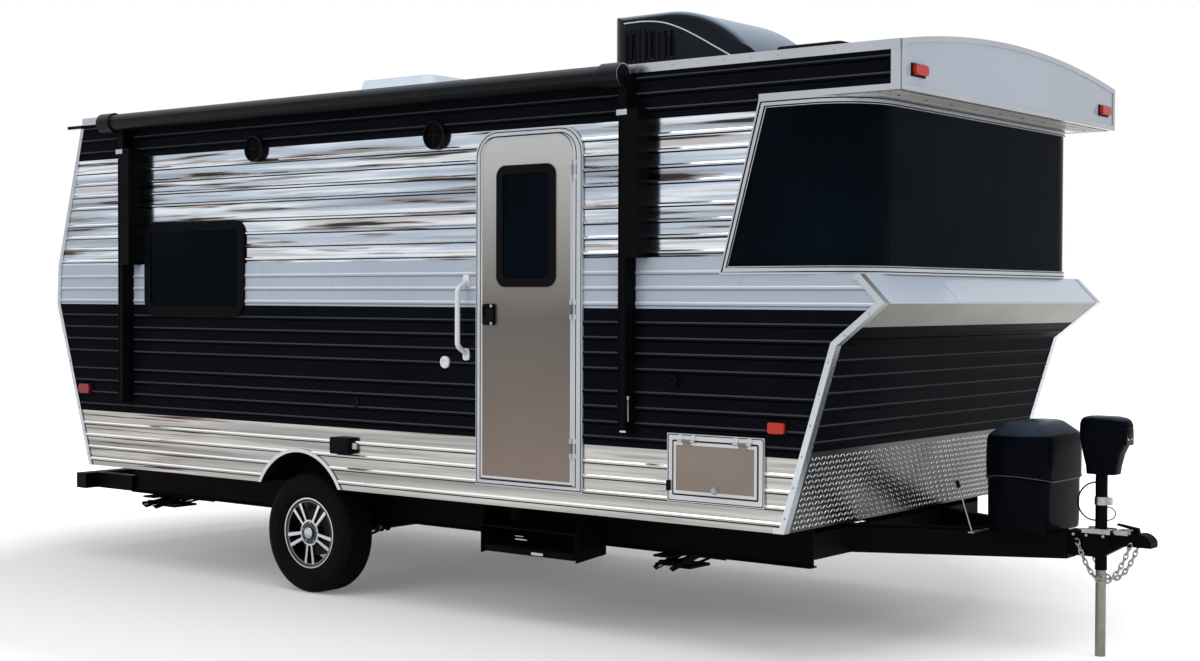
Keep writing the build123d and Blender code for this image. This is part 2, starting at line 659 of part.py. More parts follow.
# ---- siding: one node for each coloured band, right, left and rear --------------------
for band in ("skirt", "black", "white", "mirror", "roof"):
    with BuildPart() as siding:
        for sheet in [row for row in SHEETS if row.band == band]:
            ribs = (sheet.low, sheet.high, sheet.first_rib, sheet.ribs)
            with BuildSketch(Plane.YZ.offset(REAR_WAIST_X)):
                for side in SIDES:
                    Polygon(*ribbed_outline(lambda z: side.sign * HALF, *ribs, side.sign),
                            align=None)
            extrude(amount=BROW_X - REAR_WAIST_X)
        with BuildSketch(Plane.XZ):
            Polygon(*side_outline(), align=None)
        extrude(amount=FAR, both=True, mode=Mode.INTERSECT)
        for side in SIDES:
            extrude(side_openings(side, 0), amount=CUT, both=True, mode=Mode.SUBTRACT)
            extrude(footprints(side), amount=-side.sign * 2 * RIB_HEIGHT, mode=Mode.SUBTRACT)
    with BuildPart() as rear_siding:
        for sheet in [row for row in SHEETS if row.band == band]:
            high = EAVES_Z + ROOF_CROWN if band == "roof" else sheet.high
            with BuildSketch(Plane.XZ):
                Polygon(*ribbed_outline(rear_x, sheet.low, high, sheet.first_rib, sheet.ribs, -1),
                        align=None)
            extrude(amount=WALL_IN, both=True)
        extrude(under_roof.sketch, amount=FAR, both=True, mode=Mode.INTERSECT)
        add(rear_lamps(), mode=Mode.SUBTRACT)
        add(rear_fitting(PLATE_Y, PLATE_Z, PLATE_WIDTH, PLATE_HEIGHT, EDGE_LEG), mode=Mode.SUBTRACT)
    solids = siding.solids() + rear_siding.solids()
    if band == "black":
        with BuildPart() as front_siding:
            with BuildSketch(Plane.XZ):
                Polygon(*ribbed_outline(front_x, TREAD_TOP_Z, FRONT_KINK_Z, TREAD_TOP_Z + 40, 6, 1),
                        align=None)
            extrude(amount=WALL_IN, both=True)
            with BuildSketch(Plane.XZ):
                Polygon(*ribbed_outline(front_x, FRONT_KINK_Z, NOSE_UNDER_Z, FRONT_KINK_Z + 38, 1, 1),
                        align=None)
            extrude(amount=WALL_IN, both=True)
        solids += front_siding.solids()
    write(Compound(list(solids)), f"siding_{band}")

with BuildPart() as tread_plate:
    with BuildSketch(Plane.XZ):
        Polygon((front_x(BODY_BASE), BODY_BASE), (front_x(TREAD_TOP_Z), TREAD_TOP_Z),
                (front_x(TREAD_TOP_Z) - SKIN, TREAD_TOP_Z), (front_x(BODY_BASE) - SKIN, BODY_BASE),
                align=None)
    extrude(amount=WALL_IN, both=True)
write(tread_plate.part, "tread_plate")

# ======================================================================================
# Glass, frames, door and hatches
# ======================================================================================
def wrap_band(out, thick, low, high):
    """U-shaped band in plan that follows the wrap-round glass, out from its outer face."""
    with BuildPart() as band:
        with BuildSketch(Plane.XY.offset(low)):
            for grow, mode in ((out, Mode.ADD), (out - thick, Mode.SUBTRACT)):
                with BuildSketch(mode=mode) as outline:
                    with Locations((GLASS_FRONT_X + grow, 0)):
                        Rectangle(GLASS_FRONT_X - GLASS_REAR_LOW_X + FAR, 2 * (HALF + grow),
                                  align=(Align.MAX, Align.CENTER))
                    fillet(outline.vertices().group_by(Axis.X)[-1], GLASS_CORNER + grow)
        extrude(amount=high - low)
        with BuildSketch(Plane.XZ):
            Polygon((GLASS_REAR_LOW_X, SILL_Z), (GLASS_REAR_HIGH_X, BROW_Z),
                    (FAR, BROW_Z), (FAR, SILL_Z), align=None)
        extrude(amount=FAR, both=True, mode=Mode.INTERSECT)
    return band.part


with BuildPart() as wrap_glass:
    add(wrap_band(0, GLASS_THICK, SILL_Z, BROW_Z))
write(wrap_glass.part, "wrap_glass")

with BuildPart() as glass_trim:
    add(wrap_band(GLASS_TRIM_PROUD, GLASS_TRIM_PROUD, SILL_Z, BROW_Z))
    with BuildSketch(Plane.XZ):
        Polygon((GLASS_REAR_LOW_X + 1.3 * GLASS_TRIM, SILL_Z + GLASS_TRIM),
                (GLASS_REAR_HIGH_X + 1.1 * GLASS_TRIM, BROW_Z - GLASS_TRIM),
                (FAR, BROW_Z - GLASS_TRIM), (FAR, SILL_Z + GLASS_TRIM), align=None)
    extrude(amount=FAR, both=True, mode=Mode.SUBTRACT)
write(glass_trim.part, "glass_trim")

with BuildPart() as window_frames:
    for window in WINDOWS:
        side = next(row for row in SIDES if row.name == window.side)
        with BuildSketch(side_plane(side, inwards=WALL_OUT - WALL_IN + SKIN)):
            with Locations((window.x, window.z)):
                RectangleRounded(window.width - 2 * WINDOW_FLANGE, window.height - 2 * WINDOW_FLANGE,
                                 window.corner - WINDOW_FLANGE)
                RectangleRounded(window.width - 4 * WINDOW_FLANGE, window.height - 4 * WINDOW_FLANGE,
                                 window.corner - 2 * WINDOW_FLANGE, mode=Mode.SUBTRACT)
        extrude(amount=-side.sign * (WALL + SKIN))
        with BuildSketch(side_plane(side, inwards=SKIN)):
            with Locations((window.x, window.z)):
                RectangleRounded(window.width, window.height, window.corner)
                RectangleRounded(window.width - 4 * WINDOW_FLANGE, window.height - 4 * WINDOW_FLANGE,
                                 window.corner - 2 * WINDOW_FLANGE, mode=Mode.SUBTRACT)
        extrude(amount=-side.sign * (WINDOW_PROUD + SKIN))
write(window_frames.part, "window_frames")

with BuildPart() as window_panes:
    for window in WINDOWS:
        side = next(row for row in SIDES if row.name == window.side)
        with BuildSketch(side_plane(side)):
            with Locations((window.x, window.z)):
                RectangleRounded(window.width - 4 * WINDOW_FLANGE, window.height - 4 * WINDOW_FLANGE,
                                 window.corner - 2 * WINDOW_FLANGE)
        extrude(amount=-side.sign * PANE_THICK)
write(window_panes.part, "window_panes")

RIGHT = SIDES[0]


def hinge_profile(toward_leaf):
    """Knuckle and strap of half a hinge, across its pin."""
    with BuildSketch() as profile:
        Circle(HINGE_RADIUS)
        with Locations((0, -HINGE_OUT)):
            Rectangle(HINGE_STRAP, HINGE_STRAP_THICK,
                      align=(Align.MIN if toward_leaf else Align.MAX, Align.MIN))
        Circle(HINGE_PIN_RADIUS + HINGE_PLAY if toward_leaf else HINGE_PIN_RADIUS,
               mode=Mode.SUBTRACT)
    return profile.sketch


def leaf_hinge(pin):
    """The leaf's half of a hinge; pin is a plane with x to the leaf, y out, z along the pin."""
    with BuildPart() as half:
        extrude(pin * hinge_profile(True), amount=HINGE_HALF, both=True)
    return half.part


def fixed_hinge(pin):
    """The frame's half of a hinge, with the pin through both halves."""
    with BuildPart() as half:
        for end in (-1, 1):
            start = pin.offset(end * (HINGE_HALF + HINGE_SEAT))
            extrude(start * hinge_profile(False), amount=end * HINGE_HALF)
        with BuildSketch(pin):
            Circle(HINGE_PIN_RADIUS)
        extrude(amount=2 * HINGE_HALF, both=True)
    return half.part


DOOR_PINS = [Plane(origin=(DOOR_LOW_X + DOOR_WIDTH + DOOR_GAP / 2,
                           -(HALF + DOOR_PROUD + HINGE_OUT), z),
                   x_dir=(-1, 0, 0), z_dir=(0, 0, 1)) for z in DOOR_HINGES_Z]


def hatch_pins(side):
    """Planes of the two hinges along a hatch's upper edge."""
    return [Plane(origin=(HATCH_X + end * HATCH_WIDTH / 3, side.sign * (HALF + DOOR_PROUD + HINGE_OUT),
                          HATCH_Z + (HATCH_HEIGHT + HATCH_GAP) / 2),
                  x_dir=(0, 0, -1), z_dir=(side.sign, 0, 0)) for end in (-1, 1)]


with BuildPart() as door_frame:
    # flange on the siding, and the jamb through the wall
    leaf_gap = rounded_door(DOOR_WIDTH + 2 * DOOR_GAP, DOOR_HEIGHT + 2 * DOOR_GAP,
                            DOOR_CORNER + DOOR_GAP, DOOR_LOW_X - DOOR_GAP, DOOR_LOW_Z - DOOR_GAP)
    with BuildSketch(side_plane(RIGHT, inwards=SKIN + WALL)):
        add(door_frame_outline(WINDOW_FLANGE))
        add(leaf_gap, mode=Mode.SUBTRACT)
    extrude(amount=WALL + SKIN)
    with BuildSketch(side_plane(RIGHT, inwards=SKIN)):
        add(door_frame_outline())
        add(leaf_gap, mode=Mode.SUBTRACT)
    extrude(amount=SKIN + DOOR_PROUD)
    for pin in DOOR_PINS:
        add(fixed_hinge(pin))
write(door_frame.part, "door_frame")

with BuildPart() as entry_door:
    with BuildSketch(side_plane(RIGHT, inwards=DOOR_THICK - DOOR_PROUD)):
        add(rounded_door(DOOR_WIDTH, DOOR_HEIGHT, DOOR_CORNER, DOOR_LOW_X, DOOR_LOW_Z))
        with Locations((DOOR_WINDOW_X, DOOR_WINDOW_Z)):
            RectangleRounded(DOOR_WINDOW_WIDTH - 2 * WINDOW_FLANGE,
                             DOOR_WINDOW_HEIGHT - 2 * WINDOW_FLANGE,
                             DOOR_WINDOW_CORNER - WINDOW_FLANGE, mode=Mode.SUBTRACT)
    extrude(amount=DOOR_THICK)
    for pin in DOOR_PINS:
        add(leaf_hinge(pin))
write(entry_door.part, "entry_door")

with BuildPart() as door_window_pane:
    with BuildSketch(side_plane(RIGHT, inwards=PANE_THICK - DOOR_PROUD)):
        with Locations((DOOR_WINDOW_X, DOOR_WINDOW_Z)):
            RectangleRounded(DOOR_WINDOW_WIDTH - 2 * WINDOW_FLANGE,
                             DOOR_WINDOW_HEIGHT - 2 * WINDOW_FLANGE,
                             DOOR_WINDOW_CORNER - WINDOW_FLANGE)
    extrude(amount=PANE_THICK)
write(door_window_pane.part, "door_window_pane")

# black window frame and lock on the leaf
with BuildPart() as door_fittings:
    with BuildSketch(side_plane(RIGHT, inwards=-DOOR_PROUD)):
        with Locations((DOOR_WINDOW_X, DOOR_WINDOW_Z)):
            RectangleRounded(DOOR_WINDOW_WIDTH, DOOR_WINDOW_HEIGHT, DOOR_WINDOW_CORNER)
            RectangleRounded(DOOR_WINDOW_WIDTH - 3 * WINDOW_FLANGE,
                             DOOR_WINDOW_HEIGHT - 3 * WINDOW_FLANGE,
                             DOOR_WINDOW_CORNER - WINDOW_FLANGE, mode=Mode.SUBTRACT)
    extrude(amount=8)
    with BuildSketch(side_plane(RIGHT, inwards=-DOOR_PROUD)):
        with Locations((LOCK_X, LOCK_Z)):
            RectangleRounded(LOCK_WIDTH, LOCK_HEIGHT, 12)
    extrude(amount=LOCK_PROUD)
    with BuildSketch(side_plane(RIGHT, inwards=-DOOR_PROUD - LOCK_PROUD)):
        with Locations((LOCK_X - 6, LOCK_Z + 12)):
            RectangleRounded(LOCK_WIDTH - 30, LOCK_HEIGHT - 60, 8)
    extrude(amount=-10, mode=Mode.SUBTRACT)
write(door_fittings.part, "door_fittings")

# door-side grab handle: two feet on the siding and a bowed rail
with BuildPart() as grab_handle:
    out_y = -(HALF + HANDLE_OUT)
    foot_y = -HALF
    with BuildLine() as handle_path:
        FilletPolyline((HANDLE_X, foot_y, HANDLE_LOW_Z), (HANDLE_X, out_y, HANDLE_LOW_Z + 45),
                       (HANDLE_X, out_y, HANDLE_HIGH_Z - 45), (HANDLE_X, foot_y, HANDLE_HIGH_Z),
                       radius=38)
    with BuildSketch(Plane(origin=handle_path.line @ 0, z_dir=handle_path.line % 0)):
        Circle(HANDLE_RADIUS)
    sweep(path=handle_path.line)
    with BuildSketch(side_plane(RIGHT)):
        for foot_z in (HANDLE_LOW_Z, HANDLE_HIGH_Z):
            with Locations((HANDLE_X, foot_z)):
                RectangleRounded(HANDLE_FOOT_WIDTH, HANDLE_FOOT_HEIGHT, HANDLE_RADIUS)
    extrude(amount=10)
    with BuildSketch(side_plane(RIGHT)):
        with Locations((HANDLE_X, (HANDLE_LOW_Z + HANDLE_HIGH_Z) / 2)):
            Rectangle(200, 700)
    extrude(amount=-60, mode=Mode.SUBTRACT)
write(grab_handle.part, "grab_handle")

with BuildPart() as hatch_frames:
    for side in SIDES:
        with BuildSketch(side_plane(side, inwards=SKIN)):
            with Locations((HATCH_X, HATCH_Z)):
                Rectangle(HATCH_WIDTH + 2 * HATCH_FLANGE, HATCH_HEIGHT + 2 * HATCH_FLANGE)
                Rectangle(HATCH_WIDTH + 2 * HATCH_GAP, HATCH_HEIGHT + 2 * HATCH_GAP,
                          mode=Mode.SUBTRACT)
        extrude(amount=-side.sign * (SKIN + DOOR_PROUD))
        with BuildSketch(side_plane(side, inwards=SKIN + WALL)):
            with Locations((HATCH_X, HATCH_Z)):
                Rectangle(HATCH_WIDTH + 2 * (HATCH_FLANGE - WINDOW_FLANGE),
                          HATCH_HEIGHT + 2 * (HATCH_FLANGE - WINDOW_FLANGE))
                Rectangle(HATCH_WIDTH + 2 * HATCH_GAP, HATCH_HEIGHT + 2 * HATCH_GAP,
                          mode=Mode.SUBTRACT)
        extrude(amount=-side.sign * (SKIN + WALL))
        for pin in hatch_pins(side):
            add(fixed_hinge(pin))
write(hatch_frames.part, "hatch_frames")

for side in SIDES:
    with BuildPart() as hatch:
        with BuildSketch(side_plane(side, inwards=HATCH_THICK - DOOR_PROUD)):
            with Locations((HATCH_X, HATCH_Z)):
                Rectangle(HATCH_WIDTH, HATCH_HEIGHT)
        extrude(amount=-side.sign * HATCH_THICK)
        with BuildSketch(side_plane(side, inwards=-DOOR_PROUD)):
            with Locations((HATCH_X, HATCH_Z - HATCH_HEIGHT / 2 + 28)):
                Circle(15)
        extrude(amount=-side.sign * 10)
        for pin in hatch_pins(side):
            add(leaf_hinge(pin))
    write(hatch.part, f"hatch_{side.name}")

# ======================================================================================
# Edge mouldings and wheel wells
# ======================================================================================
with BuildPart() as edge_trims:
    for side in SIDES:
        with BuildSketch(side_plane(side)):
            add(edge_moulding())
        extrude(amount=-side.sign * EDGE_PROUD)
        # legs of the mouldings, round the corner on the front and rear faces
        with BuildSketch(side_plane(side, inwards=WALL + SKIN)):
            Polygon(*side_outline(back=-EDGE_LEG, front=-EDGE_LEG), align=None)
            Polygon(*side_outline(), align=None, mode=Mode.SUBTRACT)
            with Locations((0, EAVES_Z)):
                Rectangle(FAR, 2 * (EAVES_Z - SILL_Z), mode=Mode.SUBTRACT)
        extrude(amount=-side.sign * (WALL + SKIN + EDGE_PROUD))
        with BuildSketch(side_plane(side)):
            with Locations((REAR_TOP_X, EAVES_Z)):
                Rectangle(BROW_X - REAR_TOP_X, EAVE_RAIL, align=(Align.MIN, Align.MAX))
        extrude(amount=-side.sign * EAVE_RAIL_PROUD)
        with BuildSketch(side_plane(side)):
            add(arch_moulding())
        extrude(amount=-side.sign * (RIB_HEIGHT + 3))
    with BuildSketch(Plane.YZ.offset(BROW_X)) as fascia_rail:
        with BuildLine():
            Polyline((-HALF, EAVES_Z), (-HALF, BROW_Z), (HALF, BROW_Z), (HALF, EAVES_Z))
            ThreePointArc((HALF, EAVES_Z), (0, EAVES_Z + ROOF_CROWN), (-HALF, EAVES_Z))
        make_face()
        offset(amount=-FASCIA_TRIM, kind=Kind.INTERSECTION, mode=Mode.SUBTRACT)
    extrude(amount=FASCIA_TRIM_PROUD)
write(edge_trims.part, "edge_trims")

with BuildPart() as wheel_wells:
    for side in SIDES:
        with BuildSketch(side_plane(side, inwards=WELL_DEPTH)):
            with Locations((ARCH_X, ARCH_Z)):
                Circle(ARCH_RADIUS + WELL_SHEET)
            with Locations((ARCH_X, BODY_BASE - ARCH_RADIUS)):
                Rectangle(4 * ARCH_RADIUS, 2 * ARCH_RADIUS, mode=Mode.SUBTRACT)
        extrude(amount=-side.sign * (WELL_DEPTH - WALL - SKIN))
        with BuildSketch(side_plane(side, inwards=WELL_DEPTH - WELL_SHEET)):
            with Locations((ARCH_X, ARCH_Z)):
                Circle(ARCH_RADIUS)
        extrude(amount=-side.sign * WELL_DEPTH, mode=Mode.SUBTRACT)
write(wheel_wells.part, "wheel_wells")

# ======================================================================================
# Wheels, axle and springs
# ======================================================================================
for side in SIDES:
    mid_y = side.sign * (TYRE_OUTER_Y - TYRE_WIDTH / 2)
    axis = Axis((WHEEL_X, 0, TYRE_RADIUS), (0, 1, 0))
    with BuildPart() as tyre:
        with BuildSketch(Plane(origin=(WHEEL_X, mid_y, TYRE_RADIUS), x_dir=(0, 1, 0),
                               z_dir=(1, 0, 0))):
            half_tread = 0.39 * TYRE_WIDTH
            with BuildLine():
                Polyline((-HALF_RIM, RIM_RADIUS + 1), (-HALF_RIM, BEAD_RADIUS),
                         (HALF_RIM, BEAD_RADIUS), (HALF_RIM, RIM_RADIUS + 1))
                ThreePointArc((HALF_RIM, RIM_RADIUS + 1),
                              (TYRE_WIDTH / 2, (RIM_RADIUS + TYRE_RADIUS) / 2),
                              (half_tread, TYRE_RADIUS - 8))
                Polyline((half_tread, TYRE_RADIUS - 8), (half_tread - 14, TYRE_RADIUS),
                         (14 - half_tread, TYRE_RADIUS), (-half_tread, TYRE_RADIUS - 8))
                ThreePointArc((-half_tread, TYRE_RADIUS - 8),
                              (-TYRE_WIDTH / 2, (RIM_RADIUS + TYRE_RADIUS) / 2),
                              (-HALF_RIM, RIM_RADIUS + 1))
            make_face()
        revolve(axis=axis)
    write(tyre.part, f"tyre_{side.name}")

    face_y = side.sign * WHEEL_FACE_Y
    with BuildPart() as rim:
        # barrel with its two flanges
        with BuildSketch(Plane(origin=(WHEEL_X, mid_y, TYRE_RADIUS), x_dir=(0, side.sign, 0),
                               z_dir=(side.sign, 0, 0))):
            Polygon((-HALF_RIM - 8, RIM_RADIUS), (-HALF_RIM, RIM_RADIUS),
                    (-HALF_RIM, BEAD_RADIUS), (HALF_RIM, BEAD_RADIUS),
                    (HALF_RIM, RIM_RADIUS), (HALF_RIM + 8, RIM_RADIUS),
                    (HALF_RIM + 8, RIM_RADIUS - 7), (HALF_RIM, BEAD_RADIUS - 10),
                    (-HALF_RIM, BEAD_RADIUS - 10), (-HALF_RIM - 8, BEAD_RADIUS), align=None)
        revolve(axis=axis)
        # face: pairs of spokes that part towards the barrel, round a pad with the wheel nuts
        face = Plane(origin=(WHEEL_X, face_y, TYRE_RADIUS), x_dir=(1, 0, 0),
                     z_dir=(0, side.sign, 0))
        for top, bottom, step in ((0, SPOKE_BEVEL, SPOKE_BEVEL), (SPOKE_BEVEL, SPOKE_THICK, 0)):
            with BuildSketch(face.offset(-top)):
                Circle(PAD_RADIUS - step)
                with PolarLocations(0, SPOKE_COUNT, start_angle=-90):
                    for turn in (-1, 1):
                        Polygon(*[(out, turn * (near + step)) for out, near, far in SPOKE_EDGES],
                                *[(out, turn * (far - step))
                                  for out, near, far in reversed(SPOKE_EDGES)], align=None)
            extrude(amount=top - bottom)
        with BuildSketch(face):
            Circle(HUB_RADIUS)
        extrude(amount=-HUB_LENGTH)
        with BuildSketch(face):
            with PolarLocations(NUT_CIRCLE, SPOKE_COUNT, start_angle=90):
                Circle(NUT_RECESS)
        extrude(amount=-NUT_DEPTH, mode=Mode.SUBTRACT)
        with BuildSketch(face):
            Circle(CAP_RADIUS)
        extrude(amount=CAP_PROUD)
        fillet(rim.faces().filter_by(Axis.Y).sort_by(Axis.Y)[-1 if side.sign > 0 else 0].edges(),
               CAP_PROUD / 2)
    write(rim.part, f"rim_{side.name}")

    drum_face_y = face_y - side.sign * HUB_LENGTH
    with BuildPart() as hub_drum:
        with BuildSketch(Plane(origin=(WHEEL_X, drum_face_y, TYRE_RADIUS), x_dir=(1, 0, 0),
                               z_dir=(0, side.sign, 0))):
            Circle(DRUM_RADIUS)
        extrude(amount=-DRUM_FACE)
        with BuildSketch(Plane(origin=(WHEEL_X, drum_face_y - side.sign * DRUM_FACE, TYRE_RADIUS),
                               x_dir=(1, 0, 0), z_dir=(0, side.sign, 0))):
            Circle(DRUM_RADIUS)
            Circle(DRUM_RADIUS - 9, mode=Mode.SUBTRACT)
            Circle(HUB_RADIUS - 10)
            Circle(HUB_BORE, mode=Mode.SUBTRACT)
        extrude(amount=-DRUM_DEPTH)
    write(hub_drum.part, f"hub_drum_{side.name}")

spindle_tip_y = WHEEL_FACE_Y - HUB_LENGTH - DRUM_FACE - 2
backing_y = WHEEL_FACE_Y - HUB_LENGTH - DRUM_FACE - DRUM_DEPTH - DRUM_GAP
with BuildPart() as axle:
    with BuildSketch(Plane(origin=(WHEEL_X, 0, TYRE_RADIUS), x_dir=(1, 0, 0), z_dir=(0, 1, 0))):
        Circle(AXLE_TUBE_RADIUS)
    extrude(amount=backing_y, both=True)
    with BuildSketch(Plane(origin=(WHEEL_X, 0, TYRE_RADIUS), x_dir=(1, 0, 0), z_dir=(0, 1, 0))):
        Circle(HUB_BORE - HUB_PLAY)
    extrude(amount=spindle_tip_y, both=True)
    for side in SIDES:
        with BuildSketch(Plane(origin=(WHEEL_X, side.sign * backing_y, TYRE_RADIUS),
                               x_dir=(1, 0, 0), z_dir=(0, side.sign, 0))):
            Circle(DRUM_RADIUS)
        extrude(amount=-6)
write(axle.part, "axle")

SPRING_EYE_Z = 392
SPRING_LOW_Z = TYRE_RADIUS - AXLE_TUBE_RADIUS - 2 * LEAF_THICK
with BuildPart() as leaf_springs:
    for side in SIDES:
        with BuildSketch(Plane.XZ.offset(-side.sign * RAIL_Y)):
            with BuildLine():
                ThreePointArc((WHEEL_X - SPRING_HALF, SPRING_EYE_Z), (WHEEL_X, SPRING_LOW_Z),
                              (WHEEL_X + SPRING_HALF, SPRING_EYE_Z))
                ThreePointArc((WHEEL_X + SPRING_HALF, SPRING_EYE_Z - LEAF_THICK),
                              (WHEEL_X, SPRING_LOW_Z - LEAF_THICK),
                              (WHEEL_X - SPRING_HALF, SPRING_EYE_Z - LEAF_THICK))
                Line((WHEEL_X - SPRING_HALF, SPRING_EYE_Z - LEAF_THICK),
                     (WHEEL_X - SPRING_HALF, SPRING_EYE_Z))
                Line((WHEEL_X + SPRING_HALF, SPRING_EYE_Z),
                     (WHEEL_X + SPRING_HALF, SPRING_EYE_Z - LEAF_THICK))
            make_face()
            # seat between the axle tube and the main leaf
            with Locations((WHEEL_X, SPRING_LOW_Z - LEAF_THICK)):
                Rectangle(90, TYRE_RADIUS - SPRING_LOW_Z, align=(Align.CENTER, Align.MIN))
            with Locations((WHEEL_X, TYRE_RADIUS)):
                Circle(AXLE_TUBE_RADIUS, mode=Mode.SUBTRACT)
            for end in (-1, 1):
                with Locations((WHEEL_X + end * SPRING_HALF, SPRING_EYE_Z - LEAF_THICK / 2)):
                    Circle(18)
        extrude(amount=LEAF_WIDTH / 2, both=True)
write(leaf_springs.part, "leaf_springs")

# ======================================================================================
# Chassis
# ======================================================================================
RAIL_LOW_Z = BODY_BASE - RAIL_HEIGHT
with BuildPart() as frame_rails:
    for side in SIDES:
        with BuildSketch(Plane.YZ.offset(RAIL_REAR_X)):
            with Locations((side.sign * RAIL_Y, RAIL_LOW_Z + RAIL_HEIGHT / 2)):
                Rectangle(RAIL_FLANGE, RAIL_HEIGHT)
                for web in (-1, 1):
                    with Locations((web * (RAIL_FLANGE + RAIL_WEB) / 4, 0)):
                        Rectangle((RAIL_FLANGE - RAIL_WEB) / 2, RAIL_HEIGHT - 2 * RAIL_WEB,
                                  mode=Mode.SUBTRACT)
        extrude(amount=RAIL_FRONT_X - RAIL_REAR_X)
        # hangers for the spring eyes
        for end in (-1, 1):
            with BuildSketch(Plane.XZ.offset(-side.sign * RAIL_Y)):
                with Locations((WHEEL_X + end * SPRING_HALF, SPRING_EYE_Z - LEAF_THICK / 2)):
                    Circle(28)
                    with Locations((0, (RAIL_LOW_Z - SPRING_EYE_Z) / 2 + 2)):
                        Rectangle(56, RAIL_LOW_Z - SPRING_EYE_Z + 4)
            extrude(amount=LEAF_WIDTH / 2 + 6, both=True)
            with BuildSketch(Plane.XZ.offset(-side.sign * RAIL_Y)):
                with Locations((WHEEL_X + end * SPRING_HALF, SPRING_EYE_Z - LEAF_THICK / 2)):
                    Circle(40)
                    Rectangle(160, 46)
            extrude(amount=LEAF_WIDTH / 2, both=True, mode=Mode.SUBTRACT)
    # cross members: channels, open to the front, between the rails' webs
    for index in range(MEMBER_COUNT):
        member_x = MEMBER_REAR_X + index * MEMBER_PITCH
        with Locations((member_x, 0, BODY_BASE - MEMBER_HEIGHT / 2 - RAIL_WEB)):
            Box(MEMBER_WIDTH, 2 * (RAIL_Y - RAIL_WEB / 2), MEMBER_HEIGHT)
            with Locations((MEMBER_WALL, 0, 0)):
                Box(MEMBER_WIDTH, 2 * (RAIL_Y - RAIL_WEB / 2), MEMBER_HEIGHT - 2 * MEMBER_WALL,
                    mode=Mode.SUBTRACT)
write(frame_rails.part, "frame_rails")

with BuildPart() as tongue_frame:
    beam_angle = degrees(atan2(RAIL_Y - A_BEAM_FRONT_Y, A_BEAM_FRONT_X - A_BEAM_REAR_X))
    beam_length = hypot(RAIL_Y - A_BEAM_FRONT_Y, A_BEAM_FRONT_X - A_BEAM_REAR_X)
    with BuildSketch(Plane.XY.offset(A_BEAM_LOW_Z)):
        for side in SIDES:
            with Locations(Location(((A_BEAM_REAR_X + A_BEAM_FRONT_X) / 2,
                                     side.sign * (RAIL_Y + A_BEAM_FRONT_Y) / 2, 0),
                                    (0, 0, -side.sign * beam_angle))):
                Rectangle(beam_length + 60, A_BEAM_WIDTH)
        with Locations((RAIL_FRONT_X - MEMBER_WIDTH / 2, 0)):
            Rectangle(MEMBER_WIDTH, 2 * RAIL_Y)
        with Locations((A_BEAM_FRONT_X - 60, 0)):
            Rectangle(190, 2 * A_BEAM_FRONT_Y)
        with Locations((0, 0)):
            Rectangle(FAR * 2, 2 * (RAIL_Y - RAIL_WEB / 2), mode=Mode.INTERSECT)
    extrude(amount=A_BEAM_HEIGHT)
write(tongue_frame.part, "tongue_frame")

with BuildPart() as rear_bumper:
    bumper_centre = (BUMPER_REAR_X + BUMPER_SIZE / 2, 0, BUMPER_LOW_Z + BUMPER_SIZE / 2)
    with Locations(bumper_centre):
        Box(BUMPER_SIZE, 2 * BUMPER_HALF_WIDTH, BUMPER_SIZE)
    arm_length = RAIL_REAR_X - BUMPER_REAR_X - BUMPER_SIZE
    for side in SIDES:
        with Locations((RAIL_REAR_X - arm_length / 2, side.sign * RAIL_Y,
                        BUMPER_LOW_Z + BUMPER_SIZE / 2)):
            Box(arm_length, RAIL_FLANGE, BUMPER_SIZE)
write(rear_bumper.part, "rear_bumper")

link_half, link_across = LINK_LENGTH / 2 - LINK_WIRE, LINK_WIDTH / 2 - LINK_WIRE
eye_reach = link_half - ((EYE_RADIUS + LINK_WIRE + HINGE_SEAT) * hypot(LINK_SLANT, 1)
                         - (1 - LINK_SLANT) * link_across) / LINK_SLANT
chain_places = hanging_links()

